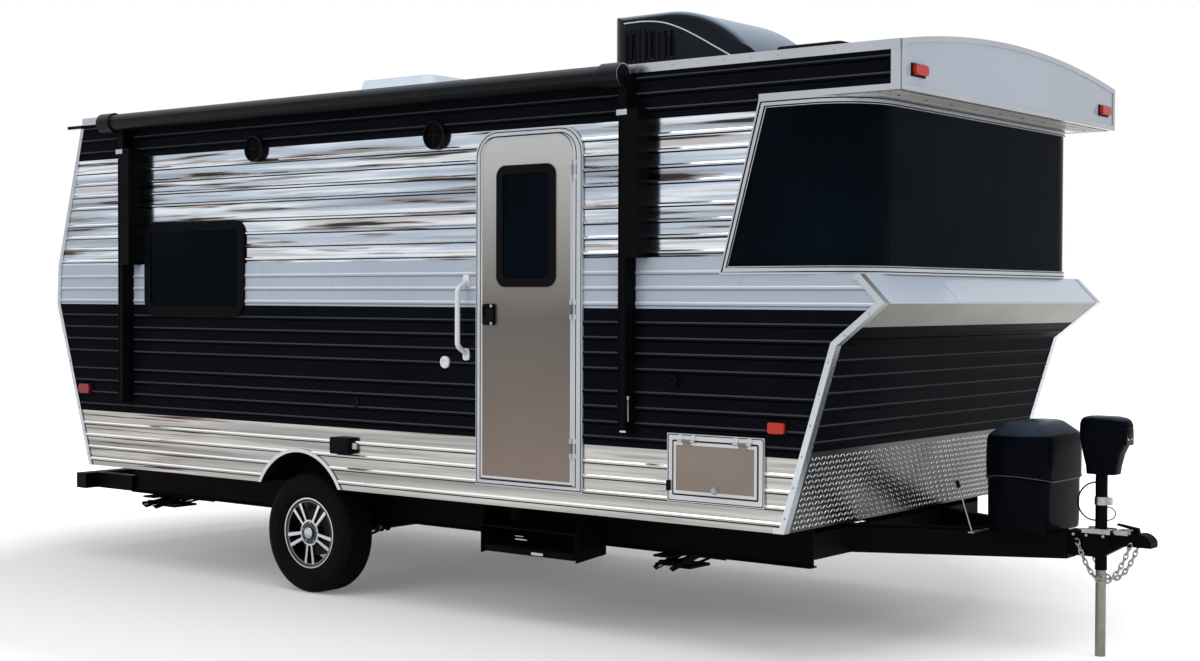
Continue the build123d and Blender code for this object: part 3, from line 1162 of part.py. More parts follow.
with BuildPart() as coupler:
    # hood, seen from the side, wide at the rear and narrow at the tip
    with BuildSketch(Plane.XZ):
        with BuildLine():
            Polyline((A_BEAM_FRONT_X + 35, A_BEAM_LOW_Z + 20),
                     (A_BEAM_FRONT_X + 35, COUPLER_TOP_Z), (BALL_X - 30, COUPLER_TOP_Z))
            ThreePointArc((BALL_X - 30, COUPLER_TOP_Z), (BALL_X + 30, COUPLER_TOP_Z - 2),
                          (COUPLER_TIP_X, COUPLER_TOP_Z - 31))
            Polyline((COUPLER_TIP_X, COUPLER_TOP_Z - 31), (COUPLER_TIP_X, COUPLER_LOW_Z - 12),
                     (BALL_X - 80, COUPLER_LOW_Z - 12), (BALL_X - 190, A_BEAM_LOW_Z + 20),
                     (A_BEAM_FRONT_X + 35, A_BEAM_LOW_Z + 20))
        make_face()
    extrude(amount=COUPLER_HALF, both=True)
    # latch lever on top, folded back
    with BuildSketch(Plane.XZ):
        Polygon((BALL_X - 10, COUPLER_TOP_Z - 4), (BALL_X - 18, COUPLER_TOP_Z + 30),
                (BALL_X - 122, COUPLER_TOP_Z + 46), (BALL_X - 124, COUPLER_TOP_Z + 36),
                (BALL_X - 44, COUPLER_TOP_Z + 20), (BALL_X - 56, COUPLER_TOP_Z - 4), align=None)
    extrude(amount=11, both=True)
    # pockets down its flanks, so that it reads as a pressed hood
    for side in SIDES:
        with BuildSketch(Plane.XZ.offset(-side.sign * COUPLER_HALF)):
            Polygon((BALL_X - 150, COUPLER_TOP_Z - 14), (BALL_X - 60, COUPLER_TOP_Z - 14),
                    (BALL_X - 60, COUPLER_LOW_Z + 4), (BALL_X - 80, COUPLER_LOW_Z + 4),
                    (BALL_X - 150, COUPLER_LOW_Z - 20), align=None)
        extrude(amount=side.sign * 10, mode=Mode.SUBTRACT)
    with BuildSketch(Plane.XY.offset(COUPLER_LOW_Z - 12)):
        with Locations((BALL_X, 0)):
            Circle(BALL_RADIUS)
    extrude(amount=BALL_DEPTH, mode=Mode.SUBTRACT)
    with Locations((BALL_X, 0, COUPLER_LOW_Z + 10)):
        Sphere(BALL_RADIUS, mode=Mode.SUBTRACT)
    with BuildSketch(Plane.XY):
        with Locations((JACK_X, 0)):
            Circle(JACK_TUBE_RADIUS)
    extrude(amount=FAR, mode=Mode.SUBTRACT)
    # pins for the safety chains, each in the shoulders of an end link
    for side in SIDES:
        for (x, z, slope), way in ((chain_places[0], -1), (chain_places[-1], 1)):
            for radius, low, high in ((EYE_RADIUS, 0, EYE_END), (EYE_HEAD, EYE_END - 4, EYE_END)):
                with BuildSketch(Plane.XZ.offset(-side.sign * (COUPLER_HALF + low))):
                    with Locations((x + way * eye_reach * cos(slope), z + way * eye_reach * sin(slope))):
                        Circle(radius)
                extrude(amount=-side.sign * (high - low))
write(coupler.part, "coupler")

with BuildPart() as tongue_jack:
    with BuildSketch(Plane.XY.offset(JACK_TUBE_LOW_Z)):
        with Locations((JACK_X, 0)):
            Circle(JACK_TUBE_RADIUS)
    extrude(amount=JACK_HEAD_LOW_Z - JACK_TUBE_LOW_Z)
    with BuildSketch(Plane.XY.offset(COUPLER_TOP_Z)):
        with Locations((JACK_X, 0)):
            Rectangle(120, 2 * COUPLER_HALF - 2)
    extrude(amount=8)
write(tongue_jack.part, "tongue_jack")

with BuildPart() as jack_leg:
    with BuildSketch(Plane.XY):
        with Locations((JACK_X, 0)):
            Circle(JACK_LEG_RADIUS)
    extrude(amount=JACK_TUBE_LOW_Z)
write(jack_leg.part, "jack_leg")

with BuildPart() as jack_head:
    with BuildSketch(Plane.XY.offset(JACK_HEAD_LOW_Z)):
        with Locations((JACK_X + 10, 0)):
            RectangleRounded(140, 120, 30)
    with BuildSketch(Plane.XY.offset(JACK_HEAD_HIGH_Z - 50)):
        with Locations((JACK_X + 22, 0)):
            RectangleRounded(240, 150, 60)
    loft()
    with BuildSketch(Plane.XY.offset(JACK_HEAD_HIGH_Z - 50)):
        with Locations((JACK_X + 22, 0)):
            RectangleRounded(246, 156, 63)
    extrude(amount=50)
    fillet(jack_head.faces().sort_by(Axis.Z)[-1].edges(), 18)
write(jack_head.part, "jack_head")

with BuildPart() as gas_bottle_cover:
    # tub, then the lid's skirt over it, then the raised middle of the lid
    for level, inset, rise in ((COVER_LOW_Z, COVER_LIP, COVER_SEAM_Z - COVER_LOW_Z),
                               (COVER_SEAM_Z, 0, COVER_HIGH_Z - COVER_CROWN - COVER_SEAM_Z)):
        with BuildSketch(Plane.XY.offset(level)):
            with Locations((COVER_X, 0)):
                RectangleRounded(COVER_DEPTH - 2 * inset, COVER_WIDTH - 2 * inset,
                                 COVER_DEPTH / 2 - inset - 1)
        extrude(amount=rise)
    fillet(gas_bottle_cover.faces().sort_by(Axis.Z)[-1].edges(), 26)
    with BuildSketch(Plane.XY.offset(COVER_HIGH_Z - COVER_CROWN)):
        with Locations((COVER_X, 0)):
            RectangleRounded(0.72 * COVER_DEPTH, 0.8 * COVER_WIDTH, 0.3 * COVER_DEPTH)
    extrude(amount=COVER_CROWN, taper=35)
write(gas_bottle_cover.part, "gas_bottle_cover")

# ======================================================================================
# Corner stabilisers and the folding step
# ======================================================================================
with BuildPart() as corner_stands:
    stand_low_z = RAIL_LOW_Z - STAND_PLATE - STAND_HEIGHT
    screw_z = stand_low_z + STAND_HEIGHT / 2
    for stand in STANDS:
        mid_y = stand.sign * STAND_Y
        with Locations((stand.x, mid_y, RAIL_LOW_Z - STAND_PLATE / 2)):
            Box(STAND_WIDTH, 2 * STAND_REACH, STAND_PLATE)
        with Locations((stand.x, mid_y, stand_low_z - STAND_FOOT / 2)):
            Box(STAND_WIDTH, 0.7 * STAND_REACH, STAND_FOOT)
        # a flat diamond of links on each side of the screw
        for face in (-1, 1):
            with BuildSketch(Plane.YZ.offset(stand.x + face * STAND_WIDTH / 3)):
                with Locations((mid_y, screw_z)):
                    half = STAND_HEIGHT / 2
                    Polygon((-STAND_REACH, 0), (-20, -half), (20, -half), (STAND_REACH, 0),
                            (20, half), (-20, half), align=None)
                    inner = half - STAND_BAR
                    Polygon((4 * STAND_BAR - STAND_REACH, 0), (-20, -inner), (20, -inner),
                            (STAND_REACH - 4 * STAND_BAR, 0), (20, inner), (-20, inner),
                            align=None, mode=Mode.SUBTRACT)
            extrude(amount=-face * STAND_BAR_THICK)
        for end in (-1, 1):
            with Locations((stand.x, mid_y + end * (STAND_REACH - 34), screw_z)):
                Box(2 * STAND_WIDTH / 3, 30, 24)
        with BuildSketch(Plane.XZ.offset(-(mid_y - stand.sign * STAND_REACH))):
            with Locations((stand.x, screw_z)):
                Circle(STAND_SCREW_RADIUS)
        extrude(amount=-stand.sign * (2 * STAND_REACH + 20))
        with BuildSketch(Plane.XZ.offset(-(mid_y + stand.sign * (STAND_REACH + 20)))):
            with Locations((stand.x, screw_z)):
                RegularPolygon(13, 6)
        extrude(amount=-stand.sign * 24)
write(corner_stands.part, "corner_stands")

arm_end_y = -(STEP_ARM_OUT_Y - STEP_ARM_LENGTH * cos(radians(STEP_ARM_DROP)))
arm_end_z = STEP_ARM_PIVOT_Z - STEP_ARM_LENGTH * sin(radians(STEP_ARM_DROP))
with BuildPart() as step_carrier:
    for end in (-1, 1):
        with BuildSketch(Plane.YZ.offset(STEP_X + end * STEP_WIDTH / 2)):
            Polygon((-STEP_OUT_Y, STEP_LOW_Z), (-STEP_OUT_Y, STEP_TOP_Z),
                    (40 - STEP_OUT_Y, BODY_BASE), (-STEP_HANGER_Y, BODY_BASE),
                    (-STEP_HANGER_Y, STEP_TOP_Z),
                    (-STEP_IN_Y - 70, STEP_TOP_Z), (-STEP_IN_Y - 70, STEP_LOW_Z + 20), align=None)
            with Locations((-STEP_ARM_OUT_Y, STEP_ARM_PIVOT_Z)):
                Circle(STEP_PIN_RADIUS + STEP_PIN_PLAY, mode=Mode.SUBTRACT)
        extrude(amount=-end * STEP_PLATE)
    with Locations((STEP_X, -(STEP_OUT_Y + STEP_HANGER_Y) / 2, STEP_TOP_Z + STEP_PLATE / 2)):
        Box(STEP_WIDTH, STEP_OUT_Y - STEP_HANGER_Y, STEP_PLATE)
write(step_carrier.part, "step_carrier")

with BuildPart() as step_arms:
    for end in (-1, 1):
        with BuildSketch(Plane.YZ.offset(STEP_X + end * (STEP_WIDTH / 2 - ARM_INSET))):
            with Locations(Location(((arm_end_y - STEP_ARM_OUT_Y) / 2,
                                     (arm_end_z + STEP_ARM_PIVOT_Z) / 2, 0),
                                    (0, 0, -STEP_ARM_DROP))):
                SlotCenterToCenter(STEP_ARM_LENGTH, 26)
        extrude(amount=-end * ARM_THICK)
        with BuildSketch(Plane.YZ.offset(STEP_X + end * STEP_WIDTH / 2)):
            with Locations((-STEP_ARM_OUT_Y, STEP_ARM_PIVOT_Z)):
                Circle(STEP_PIN_RADIUS)
        extrude(amount=-end * (ARM_INSET + 1))
    with Locations((STEP_X, arm_end_y, arm_end_z)):
        Cylinder(STEP_PIN_RADIUS, STEP_WIDTH - 2 * ARM_INSET - ARM_THICK, rotation=(0, 90, 0))
write(step_arms.part, "step_arms")

with BuildPart() as step_tread:
    tread_y = -STEP_OUT_Y + TREAD_DEPTH / 2 + 8
    with Locations((STEP_X, tread_y, arm_end_z - 18 - TREAD_HEIGHT / 2)):
        Box(TREAD_WIDTH, TREAD_DEPTH, TREAD_HEIGHT)
    for end in (-1, 1):
        with Locations((STEP_X + end * (TREAD_WIDTH / 2 - 4), arm_end_y, arm_end_z - 4)):
            Box(8, 40, 36)
    with BuildSketch(Plane.YZ.offset(STEP_X)):
        with Locations((arm_end_y, arm_end_z)):
            Circle(STEP_PIN_RADIUS + STEP_PIN_PLAY)
    extrude(amount=STEP_WIDTH, both=True, mode=Mode.SUBTRACT)
write(step_tread.part, "step_tread")

# ======================================================================================
# Awning, roof gear and fittings
# ======================================================================================
tube_y = -(HALF + AWNING_OUT)
with BuildPart() as awning_roller:
    with BuildSketch(Plane.YZ.offset(AWNING_REAR_X)):
        with Locations((tube_y, AWNING_TUBE_Z)):
            Circle(AWNING_TUBE_RADIUS)
    extrude(amount=AWNING_FRONT_X - AWNING_REAR_X)
    for end_x, direction in ((AWNING_REAR_X, -1), (AWNING_FRONT_X, 1)):
        with BuildSketch(Plane.YZ.offset(end_x)):
            with Locations((tube_y, AWNING_TUBE_Z)):
                Circle(AWNING_CAP_RADIUS)
        extrude(amount=direction * AWNING_CAP_LENGTH)
write(awning_roller.part, "awning_roller")

# arms rise to the roller and end in a saddle under it
with BuildPart() as awning_arms:
    for arm in ARMS:
        with BuildSketch(side_plane(RIGHT)):
            with Locations((arm.low_x, ARM_LOW_Z)):
                Rectangle(ARM_WIDTH, AWNING_TUBE_Z - ARM_LOW_Z, align=(Align.MIN, Align.MIN))
        extrude(amount=ARM_DEPTH)
        with BuildSketch(side_plane(RIGHT)):
            with Locations((arm.low_x + ARM_WIDTH, RAFTER_LOW_Z)):
                Rectangle(RAFTER_WIDTH, ARM_HIGH_Z - RAFTER_LOW_Z, align=(Align.MIN, Align.MIN))
        extrude(amount=RAFTER_DEPTH)
    with BuildSketch(side_plane(RIGHT)):
        with Locations((0, EAVES_Z - EAVE_RAIL)):
            Rectangle(FAR, 2 * EAVE_RAIL, align=(Align.CENTER, Align.MIN))
    extrude(amount=EAVE_RAIL_PROUD, mode=Mode.SUBTRACT)
    add(awning_roller.part, mode=Mode.SUBTRACT)
write(awning_arms.part, "awning_arms")

with BuildSketch(Plane.YZ) as over_roof:
    with BuildLine():
        ThreePointArc((HALF, EAVES_Z), (0, ROOF_TOP_Z), (-HALF, EAVES_Z))
        Polyline((-HALF, EAVES_Z), (-HALF, FAR), (HALF, FAR), (HALF, EAVES_Z))
    make_face()

with BuildPart() as air_conditioner:
    # side view: upright rear, level top, nose that falls in a long curve
    with BuildSketch(Plane.XZ):
        with BuildLine():
            Polyline((AC_REAR_X, AC_BASE_Z), (AC_REAR_X + 10, AC_TOP_Z),
                     (AC_REAR_X + 420, AC_TOP_Z))
            ThreePointArc((AC_REAR_X + 420, AC_TOP_Z),
                          (AC_REAR_X + 780, AC_BASE_Z + 0.72 * (AC_TOP_Z - AC_BASE_Z)),
                          (AC_FRONT_X, AC_BASE_Z + 0.12 * (AC_TOP_Z - AC_BASE_Z)))
            Polyline((AC_FRONT_X, AC_BASE_Z + 0.12 * (AC_TOP_Z - AC_BASE_Z)),
                     (AC_FRONT_X, AC_BASE_Z), (AC_REAR_X, AC_BASE_Z))
        make_face()
    extrude(amount=AC_HALF_WIDTH, both=True)
    fillet(air_conditioner.edges().filter_by(
        lambda edge: edge.center().Z > AC_BASE_Z + 0.2 * (AC_TOP_Z - AC_BASE_Z)
        and edge.center().X > AC_REAR_X + 20), AC_EDGE)
    with BuildSketch(Plane.XY.offset(AC_BASE_Z)):
        with Locations(((AC_REAR_X + AC_FRONT_X) / 2, 0)):
            RectangleRounded(AC_FRONT_X - AC_REAR_X, 2 * AC_HALF_WIDTH, AC_CORNER)
    extrude(amount=AC_TOP_Z - AC_BASE_Z, mode=Mode.INTERSECT)
    for side in SIDES:
        with BuildSketch(Plane.XZ.offset(-side.sign * AC_HALF_WIDTH)):
            for index in range(AC_LOUVRES.count):
                with Locations((AC_REAR_X + AC_CORNER + index * AC_LOUVRES.pitch,
                                (AC_BASE_Z + AC_TOP_Z) / 2)):
                    SlotOverall(AC_LOUVRES.height, AC_LOUVRES.width, rotation=90)
        extrude(amount=side.sign * AC_LOUVRES.depth, mode=Mode.SUBTRACT)
    extrude(over_roof.sketch, amount=FAR, both=True, mode=Mode.INTERSECT)
write(air_conditioner.part, "air_conditioner")

with BuildPart() as roof_vent_base:
    with BuildSketch(Plane.XY.offset(EAVES_Z)):
        with Locations((VENT_X, VENT_Y)):
            Rectangle(VENT_SIZE, VENT_SIZE)
            Rectangle(VENT_SIZE - 2 * VENT_WALL, VENT_SIZE - 2 * VENT_WALL, mode=Mode.SUBTRACT)
    extrude(amount=ROOF_CROWN + VENT_RISE)
    extrude(over_roof.sketch, amount=FAR, both=True, mode=Mode.INTERSECT)
    # lugs behind the frame that carry the lid's pins
    for end in (-1, 1):
        with BuildSketch(Plane.XZ.offset(-(VENT_Y + end * LID_LUG_Y))):
            with Locations((LID_PIN_X, LID_PIN_Z)):
                Circle(LID_PIN_RADIUS + 2)
                Polygon((0, -5), (0, 5), (-3, 4), (-4, -8), (VENT_REAR_X - LID_PIN_X, -35),
                        (VENT_REAR_X - LID_PIN_X, -8), align=None)
        extrude(amount=-end * LID_LUG)
        with BuildSketch(Plane.XZ.offset(-(VENT_Y + end * LID_LUG_Y))):
            with Locations((LID_PIN_X, LID_PIN_Z)):
                Circle(LID_PIN_RADIUS)
        extrude(amount=end * 4 * LID_LUG)
write(roof_vent_base.part, "roof_vent_base")

with BuildPart() as roof_vent_lid:
    with BuildSketch(Plane.XY.offset(LID_LOW_Z)):
        with Locations((VENT_X, VENT_Y)):
            RectangleRounded(VENT_SIZE + 2 * LID_OVERHANG, VENT_SIZE + 2 * LID_OVERHANG, 40)
    extrude(amount=LID_THICK)
    fillet(roof_vent_lid.faces().sort_by(Axis.Z)[-1].edges(), 16)
    for end in (-1, 1):
        with BuildSketch(Plane.XZ.offset(-(VENT_Y + end * (LID_LUG_Y - 1)))):
            with Locations((LID_PIN_X, LID_PIN_Z)):
                Circle(2 * LID_PIN_RADIUS)
                Rectangle(LID_PIN_OUT + 4, LID_PIN_RADIUS, align=(Align.MIN, Align.MIN))
                Circle(LID_PIN_RADIUS + HINGE_PLAY, mode=Mode.SUBTRACT)
        extrude(amount=end * 3 * LID_LUG)
write(roof_vent_lid.part, "roof_vent_lid")

with BuildPart() as skylight:
    with BuildSketch(Plane.XY.offset(EAVES_Z)):
        with Locations((SKYLIGHT_X, SKYLIGHT_Y)):
            RectangleRounded(700, 460, 70)
    extrude(amount=ROOF_CROWN + 10)
    with BuildSketch(Plane.XY.offset(EAVES_Z + ROOF_CROWN + 10)):
        with Locations((SKYLIGHT_X, SKYLIGHT_Y)):
            RectangleRounded(660, 420, 90)
    extrude(amount=95, taper=18)
    extrude(over_roof.sketch, amount=FAR, both=True, mode=Mode.INTERSECT)
write(skylight.part, "skylight")

with BuildPart() as wall_fittings:
    for fitting in ROUNDS:
        side = next(row for row in SIDES if row.name == fitting.side)
        with BuildSketch(side_plane(side)):
            with Locations((fitting.x, fitting.z)):
                Circle(fitting.radius)
        extrude(amount=-side.sign * fitting.proud)
        with BuildSketch(side_plane(side, inwards=-fitting.proud)):
            with Locations((fitting.x, fitting.z)):
                Circle(fitting.radius - DISH_RIM)
        extrude(amount=side.sign * fitting.dish, mode=Mode.SUBTRACT)
    with BuildSketch(side_plane(RIGHT)):
        with Locations((OUTLET_X, OUTLET_Z)):
            RectangleRounded(OUTLET_WIDTH, OUTLET_HEIGHT, 12)
    extrude(amount=OUTLET_PROUD)
    add(rear_fitting(PLATE_Y, PLATE_Z, PLATE_WIDTH, PLATE_HEIGHT, EDGE_LEG))
    # gutter spouts under the rear ends of the eave rails
    for side in SIDES:
        with Locations((SPOUT_REAR_X, side.sign * (HALF + EDGE_PROUD + SPOUT_DEPTH / 2),
                        EAVES_Z - EAVE_RAIL)):
            Box(REAR_TOP_X + 11 - SPOUT_REAR_X, SPOUT_DEPTH, SPOUT_HEIGHT,
                align=(Align.MIN, Align.CENTER, Align.MAX))
write(wall_fittings.part, "wall_fittings")

with BuildPart() as amber_lamps:
    for side in SIDES:
        with BuildSketch(side_plane(side)):
            add(marker_outline(MARKER_AMBER))
        extrude(amount=-side.sign * LAMP_PROUD)
        with BuildSketch(Plane.YZ.offset(BROW_X)):
            with Locations((side.sign * BROW_LAMP_Y, BROW_LAMP_Z)):
                RectangleRounded(BROW_LAMP_WIDTH, BROW_LAMP_HEIGHT, 18)
        extrude(amount=LAMP_PROUD)
write(amber_lamps.part, "amber_lamps")

with BuildPart() as red_lamps:
    add(rear_lamps())
    for side in SIDES:
        with BuildSketch(side_plane(side)):
            add(marker_outline(MARKER_RED))
        extrude(amount=-side.sign * LAMP_PROUD)
write(red_lamps.part, "red_lamps")

# ======================================================================================
# Safety chains
# ======================================================================================
def chain_link(place):
    """One link of angular wire, long way along the place's x axis."""
    tip, shoulder = (1 - LINK_SLANT) * link_across, link_half - link_across
    ring = [(link_half, -tip), (link_half, tip), (shoulder, link_across), (-shoulder, link_across),
            (-link_half, tip), (-link_half, -tip), (-shoulder, -link_across), (shoulder, -link_across)]
    with BuildPart() as link:
        with BuildLine() as wire:
            Polyline(*[(x, y, 0) for x, y in ring], close=True)
        with BuildSketch(Plane(origin=(0, link_across, 0), x_dir=(0, 1, 0), z_dir=(1, 0, 0))):
            RegularPolygon(LINK_WIRE, 6)
        sweep(path=wire.line, transition=Transition.RIGHT)
    return place * link.part


chains = []
for side in SIDES:
    for index, (x, z, slope) in enumerate(chain_places):
        turn = Location((x, side.sign * (COUPLER_HALF + EYE_OUT), z), (0, -degrees(slope), 0))
        chains.append(chain_link(turn * Location((0, 0, 0), (90 * ((index + 1) % 2), 0, 0))))
write(Compound(chains), "safety_chains")
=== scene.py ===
"""Dresses the travel caravan: finishes for its solids and the small parts fixed to them."""
from __future__ import annotations

import logging
import math
from collections.abc import Callable, Sequence
from dataclasses import dataclass
from enum import Enum
from functools import cached_property
from itertools import pairwise, product

import bmesh
import bpy
from mathutils import Matrix, Vector


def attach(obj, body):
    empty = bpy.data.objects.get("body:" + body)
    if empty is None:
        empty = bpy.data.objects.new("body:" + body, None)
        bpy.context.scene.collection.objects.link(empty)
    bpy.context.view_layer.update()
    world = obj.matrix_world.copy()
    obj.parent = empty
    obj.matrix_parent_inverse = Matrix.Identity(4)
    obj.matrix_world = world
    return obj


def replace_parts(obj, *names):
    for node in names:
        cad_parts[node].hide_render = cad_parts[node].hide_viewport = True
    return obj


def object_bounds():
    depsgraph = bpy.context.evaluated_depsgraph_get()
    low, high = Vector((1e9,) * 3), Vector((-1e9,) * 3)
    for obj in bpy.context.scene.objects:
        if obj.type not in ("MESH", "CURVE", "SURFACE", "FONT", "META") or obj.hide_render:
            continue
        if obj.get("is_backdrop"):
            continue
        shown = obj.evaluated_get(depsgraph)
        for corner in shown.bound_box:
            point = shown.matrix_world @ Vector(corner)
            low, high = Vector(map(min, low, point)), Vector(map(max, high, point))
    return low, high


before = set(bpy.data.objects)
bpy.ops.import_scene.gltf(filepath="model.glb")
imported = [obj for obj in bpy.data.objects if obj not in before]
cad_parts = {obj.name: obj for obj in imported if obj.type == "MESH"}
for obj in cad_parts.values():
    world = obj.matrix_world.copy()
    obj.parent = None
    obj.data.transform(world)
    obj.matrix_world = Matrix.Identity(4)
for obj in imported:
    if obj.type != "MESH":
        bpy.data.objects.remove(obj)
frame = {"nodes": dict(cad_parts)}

LOG = logging.getLogger("caravan")
MID_Y = 0.064                    # the body's middle plane in the frame
HALF = 1.220                     # half width over the siding
UP = (0.0, 0.0, 1.0)
DOWN = (0.0, 0.0, -1.0)
SMOOTH_BELOW = math.radians(32)  # edges that turn less than this shade as curves
SEAT = 0.001                     # depth to which a thin part sits in what carries it
LINE = (-0.0005, 0.0007)         # foot and face of a dark line, from what carries it
Span = tuple[float, float]
Point = tuple[float, float, float]
Row = tuple[float, ...]
Rows = tuple[Row, ...]
Rod = tuple[tuple[Point, ...], float]  # centre line and radius
Bar = tuple[Span, Span, Span]          # ranges along, outwards and up
Profile = Sequence[Span]               # (radius, distance along the axis) corners
Outline = Callable[[Span, float, float, float], list[Span]]
Sizes = tuple[Point, Point]            # width, height and corner of a band's two edges
Tones = Sequence[tuple[float, str]]    # (value, sRGB hex), rising
Socket = bpy.types.NodeSocket


class Side(Enum):
    """Door side and street side of the body, by the sign of y."""

    RIGHT = -1
    LEFT = 1

    @property
    def word(self) -> str:
        """Its name in the names of pieces and bodies."""
        return self.name.lower()

    @property
    def out(self) -> Point:
        """Direction that leads away from the body."""
        return (0.0, float(self.value), 0.0)


def linear(code: str) -> tuple[float, float, float, float]:
    """Turns an sRGB hex code into a linear colour.

    Args:
        code: Six hex digits.

    Returns:
        Red, green, blue and full opacity.
    """
    channels = [int(code[index:index + 2], 16) / 255 for index in (0, 2, 4)]
    red, green, blue = [c / 12.92 if c <= 0.04045 else ((c + 0.055) / 1.055) ** 2.4
                        for c in channels]
    return (red, green, blue, 1.0)


class Nodes:
    """A node tree of a material or the world, with short ways to add to it."""

    def __init__(self, tree: bpy.types.NodeTree) -> None:
        """Takes over a tree and finds its shader, if it has one."""
        self.tree = tree
        self.shader = tree.nodes.get("Principled BSDF")

    @cached_property
    def place(self) -> Socket:
        """Object coordinates, in metres."""
        return self.add("ShaderNodeTexCoord").outputs["Object"]

    def add(self, kind: str, inputs: dict | None = None, **settings: object) -> bpy.types.Node:
        """Adds a node with its settings and links.

        Args:
            kind: Node type.
            inputs: Value or source socket for each input, by name or index.
            **settings: Attributes of the node.

        Returns:
            The new node.
        """
        made = self.tree.nodes.new(kind)
        for name, value in settings.items():
            setattr(made, name, value)
        for name, value in (inputs or {}).items():
            self.feed(made.inputs[name], value)
        return made

    def feed(self, entry: Socket, value: object) -> None:
        """Links a socket to an input, or sets the input to a value.

        Args:
            entry: The input.
            value: The socket or value.
        """
        if isinstance(value, Socket):
            self.tree.links.new(value, entry)
        else:
            entry.default_value = value

    def source(self, name: str) -> Socket:
        """Returns what feeds an input of the shader so far."""
        return self.shader.inputs[name].links[0].from_socket

    def paint(self, colour: Socket) -> None:
        """Gives the shader its base colour."""
        self.feed(self.shader.inputs["Base Color"], colour)

    def about(self, name: str) -> Socket:
        """Returns something about the surface's geometry, such as its position."""
        return self.add("ShaderNodeNewGeometry").outputs[name]

    def noise(self, place: Socket, size_mm: float, detail: float, rough: float = 0.5) -> Socket:
        """Returns a noise whose patches have a real size in millimetres."""
        return self.add("ShaderNodeTexNoise", {"Vector": place, "Scale": 1000 / size_mm,
                                               "Detail": detail, "Roughness": rough}).outputs[0]

    def stretch(self, place: Socket, scale: Point) -> Socket:
        """Returns coordinates scaled along each axis."""
        return self.add("ShaderNodeMapping", {"Vector": place, "Scale": scale}).outputs[0]

    def axis(self, vector: Socket, name: str) -> Socket:
        """Returns one coordinate of a vector."""
        return self.add("ShaderNodeSeparateXYZ", {0: vector}).outputs[name]

    def ranged(self, value: Socket, span: Span, low: float = 0.0, high: float = 1.0) -> Socket:
        """Maps a value's range onto another one and clamps it there."""
        inputs = dict(enumerate((value, *span, low, high)))
        return self.add("ShaderNodeMapRange", inputs).outputs[0]

    def mixed(self, share: Socket | float, under: object, over: object) -> Socket:
        """Returns a colour laid over another one by a share."""
        return self.add("ShaderNodeMix", {0: share, 6: under, 7: over},
                        data_type="RGBA").outputs[2]

    def worked(self, operation: str, *values: object) -> Socket:
        """Returns the result of a sum on values or sockets."""
        return self.add("ShaderNodeMath", dict(enumerate(values)), operation=operation).outputs[0]

    def distance(self, place: Socket, centre: Point, scale: Point) -> Socket:
        """Measures how far each place is from a point.

        Args:
            place: Coordinates.
            centre: The point.
            scale: Share of each axis that counts.

        Returns:
            The distance.
        """
        kind = "ShaderNodeVectorMath"
        arm = self.add(kind, {0: place, 1: centre}, operation="SUBTRACT").outputs[0]
        flat = self.add(kind, {0: arm, 1: scale}, operation="MULTIPLY").outputs[0]
        return self.add(kind, {0: flat}, operation="LENGTH").outputs["Value"]

    def ramp(self, value: Socket, tones: Tones) -> Socket:
        """Turns a value into a colour that runs through tones.

        Args:
            value: The value.
            tones: The tones.

        Returns:
            The colour.
        """
        made = self.add("ShaderNodeValToRGB", {0: value})
        ends = made.color_ramp.elements
        (first, low), *between, (last, high) = tones
        ends[0].position, ends[1].position = first, last
        ends[0].color, ends[1].color = linear(low), linear(high)
        for level, tone in between:
            ends.new(level).color = linear(tone)
        return made.outputs["Color"]

    def bump(self, height: Socket, strength: float, depth_mm: float, under: Socket | None) -> None:
        """Turns a height pattern into the shader's normal.

        Args:
            height: The pattern.
            strength: Its strength.
            depth_mm: Its height.
            under: The normal that it is laid on, if it isn't the plain one.
        """
        inputs = {"Height": height, "Strength": strength, "Distance": depth_mm / 1000}
        made = self.add("ShaderNodeBump", inputs | ({"Normal": under} if under else {}))
        self.feed(self.shader.inputs["Normal"], made.outputs["Normal"])


@dataclass(frozen=True)
class Finish:
    """A surface: its colour, gloss and small unevenness. It is named for how it was made."""

    name: str
    colour: str
    shade: str                  # of its patches
    roughness: float            # a quarter more and less in the patches
    metallic: float = 0.0
    patch_mm: float = 400.0
    relief_mm: float = 3.0      # size of the unevenness
    relief: float = 0.1         # its strength
    depth_mm: float = 0.3       # its height
    coat: float = 0.0
    specular: float = 0.5
    flat: bool = False          # whether each facet keeps its own flat shading

    def material(self) -> bpy.types.Material:
        """Makes the material once.

        Returns:
            The material, which this finish's name finds again.
        """
        made = bpy.data.materials.get(self.name)
        if made is None:
            made = bpy.data.materials.new(self.name)
            made.use_nodes = True
            nodes = Nodes(made.node_tree)
            for name, value in self.constants().items():
                nodes.shader.inputs[name].default_value = value
            self.surface(nodes)
        return made

    def constants(self) -> dict[str, float]:
        """Returns the shader's inputs that are the same all over."""
        return {"Metallic": self.metallic, "Coat Weight": self.coat,
                "Specular IOR Level": self.specular}

    def surface(self, nodes: Nodes) -> None:
        """Adds colour patches, gloss patches and fine unevenness.

        Args:
            nodes: The material's nodes.
        """
        patches = nodes.noise(nodes.place, self.patch_mm, 4.0)
        nodes.paint(nodes.mixed(patches, linear(self.colour), linear(self.shade)))
        gloss = nodes.ranged(patches, (0.0, 1.0), 0.75 * self.roughness,
                             min(1.0, 1.25 * self.roughness))
        nodes.feed(nodes.shader.inputs["Roughness"], gloss)
        nodes.bump(nodes.noise(nodes.place, self.relief_mm, 2.0), self.relief, self.depth_mm,
                   nodes.about("True Normal") if self.flat else None)


